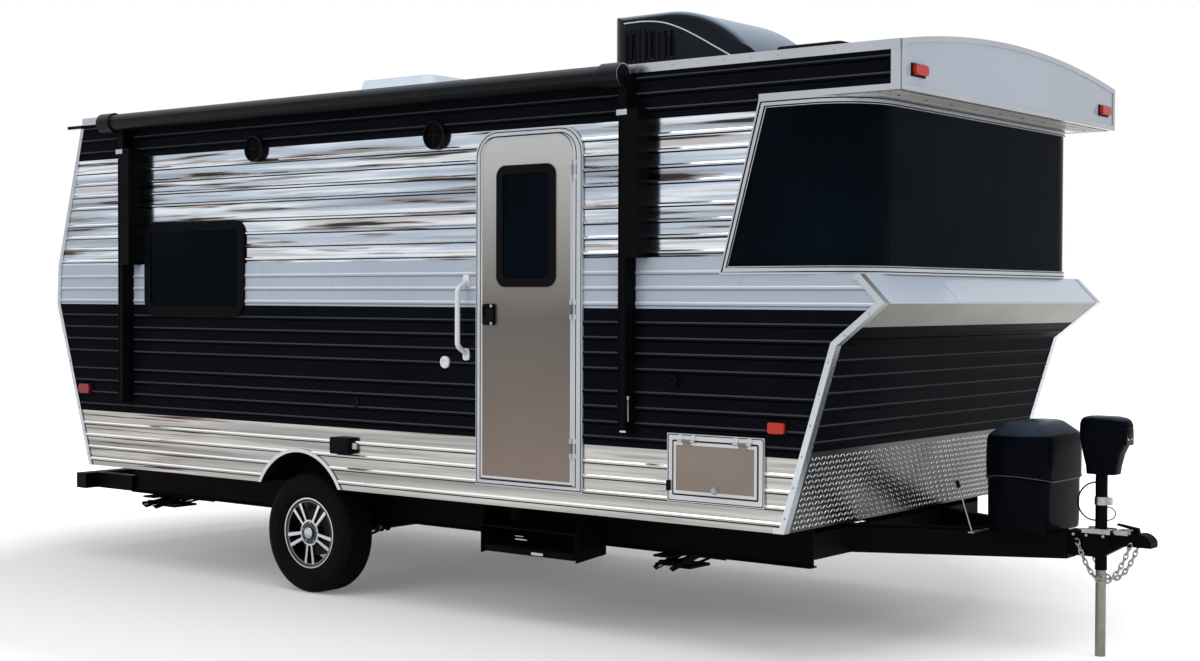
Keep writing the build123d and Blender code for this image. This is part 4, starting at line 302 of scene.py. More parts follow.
@dataclass(frozen=True)
class SkyLit(Finish):
    """Surface with a painted highlight where it faces the sky and painted shade where it faces the
    ground.
    """

    # painted highlight tone where it faces up, painted shade tone where it faces down
    painted_highlight: str = "ffffff"
    painted_shade: str = "202226"
    highlight_slope: Span = (0.31, 0.35)        # rise of the normal where the painted highlight starts, is full
    shade_slope: Span = (-0.45, -0.50)

    def surface(self, nodes: Nodes) -> None:
        """Adds the painted highlight and shade over the usual patches."""
        super().surface(nodes)
        self.flanks(nodes)

    def flanks(self, nodes: Nodes) -> None:
        """Paints highlight and shade on the surface by how steeply it faces up or down.

        Args:
            nodes: The material's nodes.
        """
        rise = nodes.axis(nodes.about("True Normal" if self.flat else "Normal"), "Z")
        colour = nodes.source("Base Color")
        for tone, slope in ((self.painted_highlight, self.highlight_slope), (self.painted_shade, self.shade_slope)):
            colour = nodes.mixed(nodes.ranged(rise, slope), colour, linear(tone))
        nodes.paint(colour)


@dataclass(frozen=True)
class RolledSheet(SkyLit):
    """Thin ribbed siding sheet: it has shallow waves between its fixings."""

    wave_mm: float = 420.0
    wave: float = 0.4                       # strength
    wave_depth_mm: float = 2.0
    wave_scale: Point = (0.45, 0.6, 1.6)    # longer along the body than up it

    def surface(self, nodes: Nodes) -> None:
        """Adds the sheet's waves.

        Args:
            nodes: The material's nodes.
        """
        super().surface(nodes)
        waves = nodes.noise(nodes.stretch(nodes.place, self.wave_scale), self.wave_mm, 1.0)
        nodes.bump(waves, self.wave, self.wave_depth_mm, nodes.source("Normal"))


@dataclass(frozen=True)
class MirrorSheet(RolledSheet):
    """Bright siding sheet with painted reflections: sky and ground painted into it in long level
    streaks.
    """

    tones: Tones = ((0.34, "8f98a5"), (0.44, "abb6c4"), (0.52, "bac5d3"), (0.60, "e3e9f0"),
                    (0.68, "bcbbbc"))       # painted reflections of the sky, by noise level
    tone_mm: float = 2200.0
    tone_tall: float = 40.0                 # times longer than tall
    halo: str = "8d827c"                    # edges of the painted reflection of the ground
    ground_reflection: str = "231e1d"                  # painted reflection of the ground, in streaks
    cover: Span = (0.75, 0.92)              # shares by which the edges and the painted ground reflection cover the sky's
    streak_mm: float = 1300.0
    streak_tall: float = 32.0
    streak_share: float = 0.60              # noise level above which the painted ground reflection shows
    halo_lead: float = 0.05                 # how much lower the halo's level is
    edge: float = 0.035                     # levels over which each fades in
    rear: Span = (-1.7, -2.2)               # x where more of the painted ground reflection starts and is full
    rear_share: float = 0.0

    def streaks(self, nodes: Nodes, tall: float, length_mm: float) -> Socket:
        """Returns a noise drawn out along the body, so many times longer than tall."""
        return nodes.noise(nodes.stretch(nodes.place, (1.0, 1.0, tall)), length_mm, 3.0, 0.55)

    def surface(self, nodes: Nodes) -> None:
        """Paints reflections: the sky's tones, then the ground's streaks over them.

        Args:
            nodes: The material's nodes.
        """
        super().surface(nodes)
        colour = nodes.ramp(self.streaks(nodes, self.tone_tall, self.tone_mm), self.tones)
        ground = self.streaks(nodes, self.streak_tall, self.streak_mm)
        if self.rear_share:
            behind = nodes.ranged(nodes.axis(nodes.place, "X"), self.rear, high=self.rear_share)
            ground = nodes.worked("ADD", ground, behind)
        starts = (self.streak_share - self.halo_lead, self.streak_share)
        for tone, start, cover in zip((self.halo, self.ground_reflection), starts, self.cover):
            shown = nodes.ranged(ground, (start, start + self.edge), high=cover)
            colour = nodes.mixed(shown, colour, linear(tone))
        nodes.paint(colour)
        self.flanks(nodes)


@dataclass(frozen=True)
class GradedSheet(Finish):
    """Satin anodised sheet with painted reflections: sky painted at its head and ground at its
    foot.
    """

    tones: Tones = ((0.77, "706259"), (1.20, "5c534c"), (1.62, "504e4b"), (1.95, "7f7e7c"),
                    (2.57, "babcbc"))       # painted reflection tones, by height in metres
    strength: float = 0.85                  # share by which they cover the patches

    def surface(self, nodes: Nodes) -> None:
        """Paints the reflection tones by height over the usual patches.

        Args:
            nodes: The material's nodes.
        """
        super().surface(nodes)
        low, high = self.tones[0][0], self.tones[-1][0]
        height = nodes.ranged(nodes.axis(nodes.about("Position"), "Z"), (low, high))
        colour = nodes.ramp(height, [((level - low) / (high - low), tone)
                                     for level, tone in self.tones])
        nodes.paint(nodes.mixed(self.strength, nodes.source("Base Color"), colour))


@dataclass(frozen=True)
class TintedGlass(Finish):
    """Float glass under a dark film: the cabin shows dimly behind weak reflections."""

    index: float = 1.05
    clear: float = 0.8          # share of its light that goes through

    def constants(self) -> dict[str, float]:
        """Returns the shader's constant inputs, with the glass's own."""
        return super().constants() | {"Transmission Weight": self.clear, "IOR": self.index}


@dataclass(frozen=True)
class MachinedAlloy(Finish):
    """Cast alloy painted all over, its spokes' and lip's faces then turned bright in a lathe."""

    painting: str = "0a0a0c"
    axle: Point = (-1.056, 0.0, 0.350)
    facing: Span = (0.90, 0.97)         # how squarely the bare metal faces along the axle
    spokes_in: Span = (0.064, 0.067)    # radii where it starts
    spokes_out: Span = (0.186, 0.183)   # where it ends
    lip: Span = (0.1985, 0.1995)        # where the lip's starts

    def surface(self, nodes: Nodes) -> None:
        """Bares the metal where the surface faces along the axle.

        Args:
            nodes: The material's nodes.
        """
        super().surface(nodes)
        normal = nodes.add("ShaderNodeTexCoord").outputs["Normal"]
        outward = nodes.worked("ABSOLUTE", nodes.axis(normal, "Y"))
        radius = nodes.distance(nodes.place, self.axle, (1.0, 0.0, 1.0))
        inner, outer, lip = (nodes.ranged(radius, edge)
                             for edge in (self.spokes_in, self.spokes_out, self.lip))
        turned = nodes.worked("MAXIMUM", nodes.worked("MULTIPLY", inner, outer), lip)
        bare = nodes.worked("MULTIPLY", nodes.ranged(outward, self.facing), turned)
        nodes.paint(nodes.mixed(bare, linear(self.painting), nodes.source("Base Color")))
        nodes.feed(nodes.shader.inputs["Metallic"], bare)


@dataclass(frozen=True)
class StudioFloor(Finish):
    """Matt white floor that the eye sees fade to plain white away from the caravan."""

    fade: Span = (1.9, 3.3)                     # distances where the fade starts and ends
    lift: float = 0.15                          # white added under the caravan
    middle: Point = (-0.8, 0.0, 0.0)            # where those distances start
    narrowing: Point = (0.62, 0.62, 1.0)        # share of each axis in them

    def surface(self, nodes: Nodes) -> None:
        """Adds plain white to what the camera and reflections see of the floor.

        Args:
            nodes: The material's nodes.
        """
        super().surface(nodes)
        away = nodes.distance(nodes.place, self.middle, self.narrowing)
        rays = nodes.add("ShaderNodeLightPath").outputs
        seen = nodes.worked("MAXIMUM", rays["Is Camera Ray"], rays["Is Glossy Ray"])
        glow = nodes.worked("MULTIPLY", nodes.ranged(away, self.fade, low=self.lift), seen)
        nodes.shader.inputs["Emission Color"].default_value = linear("ffffff")
        nodes.feed(nodes.shader.inputs["Emission Strength"], glow)


# Baked enamel on rolled aluminium: deep gloss, reflections slightly bent. The ribs' upward flanks
# carry a painted highlight and their downward flanks painted shade.
BLACK_SIDING = RolledSheet("black enamelled siding", "0a0b10", "111217", 0.30, specular=0.004,
                           relief_mm=9.0, relief=0.05, flat=True, painted_highlight="3e3f45",
                           painted_shade="030304")
WHITE_SIDING = RolledSheet("white enamelled siding", "b2bbc8", "9ca5b4", 0.28, specular=0.3,
                           patch_mm=900.0, relief_mm=9.0, relief=0.04, flat=True,
                           painted_highlight="d0d6df", painted_shade="7f8796")
# Bright rolled sheet: mirror gloss, with painted reflections of sky and ground in long level
# streaks.
BRIGHT_SIDING = MirrorSheet("bright rolled aluminium siding", "bcc5d0", "a4aeba", 0.14,
                            metallic=1.0, relief_mm=14.0, relief=0.10, wave=0.75, flat=True)
# Skirt: warmer painted reflections, with more dark red painted ground reflection towards the rear.
SKIRT_SIDING = MirrorSheet("bright rolled aluminium skirt", "b8b7b5", "a5a4a2", 0.18,
                           metallic=1.0, relief_mm=14.0, relief=0.10, wave=0.75, flat=True,
                           tones=((0.34, "797876"), (0.44, "8a8987"), (0.52, "95938f"),
                                  (0.60, "a7a5a1"), (0.68, "848381")),
                           halo="7a6a66", ground_reflection="35181a", streak_share=0.68, streak_tall=95.0,
                           rear_share=0.09)
# Checker plate: bright lozenges on a duller ground, whose large dark patches are painted
# reflections.
CHECKER_PLATE = Finish("rolled aluminium checker plate", "56585a", "101113", 0.30, metallic=1.0,
                       patch_mm=620.0, relief_mm=2.0, relief=0.2)
LOZENGE = Finish("polished checker plate ridges", "e9ebed", "b9bcc0", 0.2, metallic=1.0,
                 patch_mm=620.0)
# Anodised extrusion: soft bright line with drawing marks too fine to see.
BRIGHT_TRIM = Finish("anodised aluminium moulding", "b9bdc3", "9da2a8", 0.26, metallic=1.0)
WHITE_TRIM = Finish("white powder coated aluminium", "c4c8ce", "b0b5bc", 0.34, relief_mm=1.5)
# Door leaf: painted reflection of the ground low down and of the sky high up.
CHAMPAGNE = GradedSheet("champagne anodised aluminium sheet", "958a80", "7b7067", 0.34,
                        metallic=0.6, patch_mm=700.0, relief_mm=1.6, relief=0.06)
CHAMPAGNE_FLAT = Finish("champagne anodised hatch sheet", "7f736a", "73685f", 0.36, metallic=0.5,
                        patch_mm=300.0, relief_mm=1.6, relief=0.06)
SATIN_FRAME = Finish("satin silver extrusion", "b9bbbd", "a2a4a7", 0.3, metallic=0.8)
GLOSS_WHITE = Finish("gloss white painted aluminium", "aab4c1", "9ba5b3", 0.22, coat=0.2,
                     patch_mm=900.0, relief_mm=6.0, relief=0.05)
DECK_WHITE = Finish("gloss white deck sheet", "c3d1e0", "b4c2d2", 0.22, coat=0.2,
                    patch_mm=900.0, relief_mm=6.0, relief=0.05)
# Painted shade: the nose's white under panel as it looks in shade.
SHADED_WHITE_SHEET = Finish("white sheet painted in shade", "8f8b83", "7b7770", 0.36, relief_mm=12.0)
BEIGE_BOARD = Finish("pale soffit strip", "c3c0ba", "a5a19a", 0.4, patch_mm=260.0)
ROOF_RUBBER = Finish("white roofing rubber", "cfd0cd", "b7b8b3", 0.75, relief_mm=4.0, relief=0.2)
WALL_BOARD = Finish("beige vinyl wall board", "9c9284", "8a8174", 0.6, relief_mm=2.0)
FLOOR_BOARD = Finish("painted floor board", "1a1a1b", "252423", 0.8, relief_mm=3.0, relief=0.25)
BLACK_POWDER = Finish("black powder coated steel", "060608", "0c0c0e", 0.42, relief_mm=1.2,
                      relief=0.18, specular=0.02)
CHASSIS_BLACK = Finish("black chassis paint", "050505", "0e0d0d", 0.5, patch_mm=150.0,
                       relief_mm=4.0, relief=0.25, specular=0.02)
GRAINED_BLACK = Finish("grained black ABS", "08080b", "0e0e13", 0.42, relief_mm=1.1, relief=0.35,
                       depth_mm=0.2, specular=0.03)
# Its paler blue-grey where it faces up is a painted sky highlight.
COVER_BLACK = SkyLit("smooth blue-black polyethylene", "06070c", "0b0c13", 0.24, patch_mm=200.0,
                     relief_mm=2.0, relief=0.08, specular=0.01, painted_highlight="3f4a5a",
                     highlight_slope=(0.55, 0.98), painted_shade="040406")
# Black polypropylene: its paler blue-grey where it faces up is a painted sheen.
AC_BLACK = SkyLit("black polypropylene with painted sheen", "0b0d12", "181d25", 0.28, patch_mm=220.0,
                  relief_mm=1.4, relief=0.2, specular=0.06, painted_highlight="8496aa",
                  highlight_slope=(0.42, 0.98), painted_shade="060708")
GLOSS_BLACK = Finish("gloss black moulding", "050507", "0a0a0c", 0.2, relief=0.04, specular=0.05)
# Its paler top is a painted sheen.
AWNING_VINYL = SkyLit("rolled black awning vinyl", "0e1011", "1a1d20", 0.36, patch_mm=120.0,
                      relief_mm=2.0, relief=0.3, specular=0.05, painted_highlight="3d4147",
                      highlight_slope=(0.1, 0.9), painted_shade="060707")
WHITE_DOME = Finish("white acrylic dome", "c6d2de", "b9c5d1", 0.3, relief_mm=6.0, relief=0.05)
WHITE_HANDLE = Finish("white moulded nylon", "dcdde0", "cbcdd1", 0.3, relief_mm=2.0)
BLIND_GREEN = Finish("green grey blind slat", "24443a", "182e27", 0.5)
TYRE_RUBBER = Finish("tyre rubber", "09090a", "111110", 0.7, patch_mm=60.0, relief_mm=1.6,
                     relief=0.3, specular=0.03)
ALLOY = MachinedAlloy("machined cast alloy", "c9ccd0", "aeb2b7", 0.24, metallic=1.0,
                      relief_mm=1.0, relief=0.12)
CAST_IRON = Finish("cast iron", "3a3531", "2a2623", 0.7, metallic=0.6, relief_mm=2.0, relief=0.4)
ZINC = Finish("zinc plated steel", "a5a7a8", "7e8184", 0.36, metallic=1.0, patch_mm=30.0)
GALVANISED = Finish("weathered galvanised steel", "8b8a80", "6d6b63", 0.42, metallic=1.0,
                    patch_mm=40.0, relief=0.2)
# Its paler blue patches are painted reflections.
SMOKED_GLASS = TintedGlass("smoked float glass", "08101a", "22343f", 0.02, patch_mm=480.0,
                           relief_mm=300.0, relief=0.05)
AMBER_LENS = Finish("amber polycarbonate lens", "cf2a0c", "96170a", 0.14, patch_mm=30.0,
                    specular=0.3, relief_mm=4.0)
RED_LENS = Finish("red polycarbonate lens", "96100c", "6e0a08", 0.14, patch_mm=30.0,
                  specular=0.3, relief_mm=4.0)

NODE_FINISHES = {node: finish for finish, nodes in (
    (BLACK_SIDING, "siding_black siding_roof"),
    (WHITE_SIDING, "siding_white"),
    (BRIGHT_SIDING, "siding_mirror"),
    (SKIRT_SIDING, "siding_skirt"),
    (CHECKER_PLATE, "tread_plate"),
    (BRIGHT_TRIM, "edge_trims glass_trim"),
    (DECK_WHITE, "nose_cap"),
    (GLOSS_WHITE, "front_brow"),
    (ROOF_RUBBER, "roof_panel"),
    (FLOOR_BOARD, "floor_panel"),
    (WALL_BOARD, "wall_right wall_left wall_rear wall_front"),
    (SMOKED_GLASS, "wrap_glass window_panes door_window_pane"),
    (BLACK_POWDER, "window_frames tongue_jack awning_arms"),
    (WHITE_TRIM, "door_frame"),
    (CHAMPAGNE, "entry_door"),
    (GRAINED_BLACK, "door_fittings wheel_wells jack_head gas_bottle_cover roof_vent_base "
                   "roof_vent_lid wall_fittings"),
    (WHITE_HANDLE, "grab_handle"),
    (SATIN_FRAME, "hatch_frames"),
    (CHAMPAGNE_FLAT, "hatch_right hatch_left"),
    (TYRE_RUBBER, "tyre_right tyre_left"),
    (ALLOY, "rim_right rim_left"),
    (CAST_IRON, "hub_drum_right hub_drum_left"),
    (CHASSIS_BLACK, "axle leaf_springs frame_rails tongue_frame rear_bumper coupler "
                   "corner_stands step_carrier step_arms step_tread"),
    (GALVANISED, "jack_leg"),
    (AWNING_VINYL, "awning_roller"),
    (AC_BLACK, "air_conditioner"),
    (WHITE_DOME, "skylight"),
    (AMBER_LENS, "amber_lamps"),
    (RED_LENS, "red_lamps"),
    (ZINC, "safety_chains"),
) for node in nodes.split()}


def dress_solids() -> None:
    """Gives every CAD node its finish."""
    for name, solid in frame["nodes"].items():
        solid.data.materials.clear()
        solid.data.materials.append(NODE_FINISHES[name].material())
        LOG.info("dressed %s as %s", name, NODE_FINISHES[name].name)


def smooth_path(points: Sequence[Point], per: int) -> list[Vector]:
    """Rounds a line of points into a curve that passes through them.

    Args:
        points: Points to pass through.
        per: Steps between neighbours.

    Returns:
        Points of the curve.
    """
    path = []
    last = len(points) - 1
    for index in range(last):
        a, b, c, d = (Vector(points[max(0, min(last, index + shift))]) for shift in (-1, 0, 1, 2))
        for step in range(per):
            t = step / per
            path.append(0.5 * (2 * b + (c - a) * t + (2 * a - 5 * b + 4 * c - d) * t ** 2
                               + (3 * b - a - 3 * c + d) * t ** 3))
    return path + [Vector(points[-1])]


def rounded_outline(centre: Span, width: float, height: float, corner: float) -> list[Span]:
    """Draws a rectangle with rounded corners.

    Args:
        centre: Its middle.
        width: Its width.
        height: Its height.
        corner: Radius of its corners.

    Returns:
        The corners of its outline.
    """
    outline = []
    for right, top, start in ((1, -1, -90), (1, 1, 0), (-1, 1, 90), (-1, -1, 180)):
        middle = (centre[0] + right * (width / 2 - corner), centre[1] + top * (height / 2 - corner))
        for angle in (math.radians(start + 15 * step) for step in range(7)):
            outline.append((middle[0] + corner * math.cos(angle),
                            middle[1] + corner * math.sin(angle)))
    return outline


def arched_outline(centre: Span, width: float, height: float, corner: float) -> list[Span]:
    """Draws a rectangle whose upper corners only are rounded.

    Args:
        centre: Its middle.
        width: Its width.
        height: Its height.
        corner: Radius of its upper corners.

    Returns:
        The corners of its outline.
    """
    foot = centre[1] - height / 2
    return [(math.copysign(width / 2, x - centre[0]) + centre[0], foot) if z < centre[1] else (x, z)
            for x, z in rounded_outline(centre, width, height, corner)]


def closed_loop(outline: Sequence[Span], height: Callable[[float, float], float]) -> list[Vector]:
    """Returns a level outline as a closed path at a height that its place gives."""
    return [Vector((x, y, height(x, y))) for x, y in [*outline, outline[0]]]


def off_wall(*distances: float) -> Row:
    """Returns distances from the body's middle plane, given those from the siding."""
    return tuple(HALF + distance_out for distance_out in distances)


class Builder:
    """Collects a mesh, in the body's own coordinates, and turns it into a riding piece."""

    def __init__(self) -> None:
        """Starts with an empty mesh."""
        self.mesh = bmesh.new()

    def join(self, rings: Sequence[Sequence[Sequence[float]]], capped: bool) -> Builder:
        """Skins a row of closed rings of points, any of which may be one point.

        Args:
            rings: The rings' points.
            capped: Whether the first and the last ring are filled.

        Returns:
            This builder.
        """
        made = [[self.mesh.verts.new(point) for point in ring] for ring in rings]
        for first, second in pairwise(made):
            for step in range(max(len(first), len(second))):
                corners = [first[step % len(first)], second[step % len(second)],
                           second[(step + 1) % len(second)], first[(step + 1) % len(first)]]
                self.mesh.faces.new(list(dict.fromkeys(corners)))
        if capped:
            self.mesh.faces.new(made[0])
            self.mesh.faces.new(made[-1])
        return self

    def turned(self, centre: Sequence[float], axis: Sequence[float], profile: Profile,
               steps: int) -> Builder:
        """Turns a profile about an axis.

        Args:
            centre: A point on the axis.
            axis: Direction in which the profile's second value counts.
            profile: Its corners; radius 0 closes it.
            steps: Segments round the axis.

        Returns:
            This builder.
        """
        turn = Vector(axis).to_track_quat("Z", "Y").to_matrix()
        rings = []
        for radius, along in profile:
            angles = [math.tau * step / steps for step in range(steps if radius else 1)]
            rings.append([Vector(centre) + turn @ Vector((radius * math.cos(a),
                                                          radius * math.sin(a), along))
                          for a in angles])
        return self.join(rings, False)

    def tube(self, points: Sequence[Sequence[float]], radius: float, steps: int) -> Builder:
        """Runs a round rod through points.

        Args:
            points: Centre line.
            radius: Rod radius.
            steps: Segments round it.

        Returns:
            This builder.
        """
        points = [Vector(point) for point in points]
        side = (points[1] - points[0]).orthogonal().normalized()
        rings = []
        for index, point in enumerate(points):
            before, after = points[max(0, index - 1)], points[min(len(points) - 1, index + 1)]
            ahead = (after - before).normalized()
            side = (side - ahead * side.dot(ahead)).normalized()
            across = ahead.cross(side)
            rings.append([point + radius * (side * math.cos(a) + across * math.sin(a))
                          for a in (math.tau * step / steps for step in range(steps))])
        return self.join(rings, True)

    def loft(self, middle: float | None, sections: Sequence[Row]) -> Builder:
        """Stands a rounded body on level sections, its ends closed.

        Args:
            middle: x of every section's middle; None where a section's last value gives it.
            sections: (z, x width, y width, corner, wave or middle x) of each, from the foot up.
                The wave lifts the sides and lowers the ends.

        Returns:
            This builder.
        """
        rings = []
        for z, x_width, y_width, corner, last in sections:
            centre, wave = (last, 0.0) if middle is None else (middle, last)
            rings.append([(x, y, z - wave * math.cos(2 * math.atan2(y, x - centre)))
                          for x, y in rounded_outline((centre, 0.0), x_width, y_width, corner)])
        return self.join(rings, True)

    def slab(self, outline: Sequence[Vector], thick: Vector) -> Builder:
        """Adds a flat plate: an outline and the same outline moved by its thickness."""
        return self.join([outline, [corner + thick for corner in outline]], True)

    def bars(self, side: Side, rows: Sequence[Bar], origin: Point = (0.0, 0.0, 0.0)) -> Builder:
        """Adds straight bars at a side of the body.

        Args:
            side: Side of the body.
            rows: Ranges of each along the body, outwards from its middle plane and upwards.
            origin: What those ranges count from.

        Returns:
            This builder.
        """
        for row in rows:
            (back, front), out, (low, high) = ([edge + start for edge in span]
                                               for span, start in zip(row, origin))
            near, far = sorted(side.value * edge for edge in out)
            self.slab([Vector((x, y, low)) for x, y in ((back, near), (front, near),
                                                        (front, far), (back, far))],
                      Vector((0.0, 0.0, high - low)))
        return self

    def band(self, side: Side, shape: Outline, centre: Span, sizes: Sizes,
             out: Span) -> Builder:
        """Lays a raised band between two outlines on a side wall.

        Args:
            side: Side of the body.
            shape: What makes an outline of a size.
            centre: (x, z) of the band's middle.
            sizes: Width, height and corner radius of its outer and its inner edge.
            out: Distances of its foot and its face from the siding.

        Returns:
            This builder.
        """
        outer, inner = (shape(centre, *size) for size in sizes)
        foot, face = off_wall(*out)
        return self.join([[(x, side.value * y, z) for x, z in edge]
                          for edge, y in ((outer, foot), (outer, face), (inner, face),
                                          (inner, foot))], False)

    def piece(self, name: str, finish: Finish, slot: str, body: str = "trailer",
              bevel: float = 0.0, smooth: bool = True) -> bpy.types.Object:
        """Finishes the mesh as a piece.

        Args:
            name: Piece name.
            finish: Its surface.
            slot: Not used.
            body: CAD body that it rides on.
            bevel: Width of its rounded edges, in metres.
            smooth: Whether gentle angles shade as curves.

        Returns:
            The new object.
        """
        bmesh.ops.translate(self.mesh, verts=self.mesh.verts, vec=(0.0, MID_Y, 0.0))
        bmesh.ops.recalc_face_normals(self.mesh, faces=self.mesh.faces)
        data = bpy.data.meshes.new(name)
        self.mesh.to_mesh(data)
        self.mesh.free()
        data.materials.append(finish.material())
        made = bpy.data.objects.new(name, data)
        bpy.context.scene.collection.objects.link(made)
        if bevel:
            rounding = made.modifiers.new("rounding", "BEVEL")
            rounding.width = bevel
            rounding.segments = 2
            rounding.limit_method = "ANGLE"
        if smooth:
            data.polygons.foreach_set("use_smooth", [True] * len(data.polygons))
            with bpy.context.temp_override(object=made, active_object=made,
                                           selected_editable_objects=[made]):
                bpy.ops.object.shade_smooth_by_angle(angle=SMOOTH_BELOW)
        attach(made, body)
        LOG.info("built %s on %s", name, body)
        return made


@dataclass
class Tyres:
    """Road tyres with grooved treads and ringed sidewalls."""

    wheel_x: float = -1.056  # axle position
    radius: float = 0.350  # outer radius, also the axle's height
    middle: float = 1.0875  # distance of the tyre's middle from the body's middle
    half_width: float = 0.1125
    # corner at the rim's edge: radius and distance from the tyre's middle
    foot: Span = (0.207, 0.0805)
    wall_radius: float = 0.279  # radius of the sidewall's widest place
    # height of the sidewall's arc, and its depth as a share of the half width
    bulge: Span = (0.0774, 0.341)
    arc: Span = (-62.0, 56.0)  # angles at which the arc starts and ends, in degrees
    # shares of the arc at which it has a corner
    wall: Row = (0.12, 0.3, 0.34, 0.36, 0.5, 0.62, 0.66, 0.68, 0.85)
    rings: Row = (0.34, 0.66)  # those of them that stand proud
    ring: float = 0.0012  # how far they do
    # corners between sidewall and tread: drop below the radius and place
    shoulder: Profile = ((0.008, 0.09075), (0.003, 0.08175))
    groove: float = 0.007  # depth of the tread grooves
    mouth: float = 0.001  # how much wider a groove is at its mouth, on each side
    crown: float = 0.0005  # drop of its outer lip below the radius
    cut_depth: float = 0.006  # depth of the cuts between blocks
    # distance of each from the middle, and its half width
    grooves: tuple[Span, ...] = ((0.058, 0.0035), (0.024, 0.0045))
    lugs: int = 66  # tread blocks round the tyre, each of four steps
    cuts: Span = (0.020, 0.062)  # places between which the tread isn't cut across

    def section(self) -> list[Span]:
        """Draws the tyre's section.

        Returns:
            Its corners from the inner bead to the outer bead.
        """
        half = [self.foot]
        start, end = self.arc
        for share in self.wall:
            angle = math.radians(start + (end - start) * share)
            out = self.half_width * (1 - self.bulge[1] * (1 - math.cos(angle)))
            half.append((self.wall_radius + self.bulge[0] * math.sin(angle),
                         out if share in self.rings else out - self.ring))
        half += [(self.radius - drop, out) for drop, out in self.shoulder]
        for place, wide in self.grooves:
            half += [(self.radius - self.crown, place + wide + self.mouth),
                     (self.radius - self.groove, place + wide),
                     (self.radius - self.groove, place - wide),
                     (self.radius, place - wide - self.mouth)]
        return [(r, -y) for r, y in half] + [(r, y) for r, y in reversed(half)]

    def cut(self, maker: Builder, centre: Vector, steps: int) -> None:
        """Cuts the tread across between its blocks, at the shoulders and in the middle.

        Args:
            maker: Builder of the tyre.
            centre: The tyre's middle.
            steps: Segments round it.
        """
        for vert in maker.mesh.verts:
            place = vert.co - centre
            reach = math.hypot(place.x, place.z)
            step = round(math.atan2(place.z, place.x) / math.tau * steps)
            between = (step + (2 if place.y > 0 else 0)) % 4 == 0
            inside = self.cuts[0] <= abs(place.y) <= self.cuts[1]
            if reach > self.radius - self.cut_depth and between and not inside:
                drop = 1 - self.cut_depth / reach
                vert.co.x = centre.x + place.x * drop
                vert.co.z = centre.z + place.z * drop

    def build(self) -> None:
        """Builds both tyres over their CAD nodes."""
        for side in Side:
            maker = Builder()
            centre = Vector((self.wheel_x, side.value * self.middle, self.radius))
            maker.turned(centre, side.out, self.section(), 4 * self.lugs)
            self.cut(maker, centre, 4 * self.lugs)
            tyre = maker.piece(f"road_tyre_{side.word}", TYRE_RUBBER, "tyre_rubber",
                               f"wheel_{side.word}")
            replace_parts(tyre, f"tyre_{side.word}")


@dataclass
class WheelFittings:
    """Nuts, valve stem and centre cap of each wheel."""

    axle: Span = (-1.056, 0.350)  # (x, z) of the axle
    face: float = 1.1705  # outer face of the spokes, from the body's middle
    nut_circle: float = 0.05715  # radius on which the nuts stand
    nut_seat: float = 0.015  # depth of a nut's seat behind the face
    nuts: int = 5
    nut: Profile = ((0.0095, 0.0), (0.0095, 0.010), (0.0076, 0.014), (0.0, 0.016))
    cap_proud: float = 0.008  # how far the cap's foot stands in front of the face
    cap: Profile = ((0.033, -0.002), (0.033, 0.001), (0.03036, 0.004), (0.0165, 0.0065),
                    (0.0, 0.007))
    # path of the valve stem from the axle and the face
    stem: tuple[Point, ...] = ((-0.157, -0.052, 0.086), (-0.145, -0.032, 0.079),
                               (-0.141, -0.010, 0.077))
    stem_radius: float = 0.0038

    def place(self, side: Side, along: float, out: float, up: float) -> Vector:
        """Returns a point from the axle and the spokes' face."""
        return Vector((self.axle[0] + along, side.value * (self.face + out), self.axle[1] + up))

    def build(self) -> None:
        """Builds the fittings of both wheels."""
        for side in Side:
            wheel = f"wheel_{side.word}"
            nuts = Builder()
            for index in range(self.nuts):
                angle = math.pi / 2 * -side.value + math.tau * index / self.nuts
                nuts.turned(self.place(side, self.nut_circle * math.cos(angle), -self.nut_seat,
                                       self.nut_circle * math.sin(angle)), side.out, self.nut, 6)
            nuts.piece(f"wheel_nuts_{side.word}", ZINC, "zinc_steel", wheel, bevel=0.0006)
            cap = Builder().turned(self.place(side, 0.0, self.cap_proud, 0.0), side.out, self.cap,
                                   32)
            cap.piece(f"centre_cap_{side.word}", BRIGHT_TRIM, "alloy_wheel", wheel)
            stem = Builder().tube([self.place(side, *point) for point in self.stem],
                                  self.stem_radius, 10)
            stem.piece(f"valve_stem_{side.word}", GRAINED_BLACK, "tyre_rubber", wheel)


@dataclass
class CheckerPlate:
    """Raised lozenges of the plate at the foot of the front wall."""

    low: Span = (2.230, 0.629)  # foot of the plate, (x, z)
    high: Span = (2.349, 1.014)  # head of the plate, (x, z)
    half_width: float = 1.172
    pitch: float = 0.029
    length: float = 0.030
    width: float = 0.0095
    height: float = 0.0020
    margin: float = 0.006  # distance of the lowest row from the foot
    seat: float = 0.0004  # how deep a lozenge's foot sits in the plate

    def build(self) -> None:
        """Builds the lozenges as low ridges over the plain plate."""
        maker = Builder()
        slope = Vector((self.high[0] - self.low[0], 0.0, self.high[1] - self.low[1]))
        up = slope.normalized()
        out = Vector((up.z, 0.0, -up.x))
        across = Vector((0.0, 1.0, 0.0))
        foot = Vector((self.low[0], 0.0, self.low[1])) + up * (self.length / 2 + self.margin)
        rows = int((slope.length - self.length) / self.pitch) + 1
        columns = int((2 * self.half_width - self.length) / self.pitch) + 1
        for row, column in product(range(rows), range(columns)):
            middle = (foot + up * row * self.pitch
                      + across * (column - (columns - 1) / 2) * self.pitch)
            lean = 1 if (row + column) % 2 else -1
            tip = (up + across * lean).normalized() * self.length / 2
            flank = (up - across * lean).normalized() * self.width / 2
            sunk = middle - out * self.seat
            a, b, c, d = (maker.mesh.verts.new(sunk + arm) for arm in (tip, flank, -tip, -flank))
            e, f = (maker.mesh.verts.new(middle + arm / 2 + out * self.height)
                    for arm in (tip, -tip))
            for face in ((a, b, e), (b, c, f, e), (c, d, f), (d, a, e, f)):
                maker.mesh.faces.new(face)
        maker.piece("checker_lozenges", LOZENGE, "tread_plate", smooth=False)


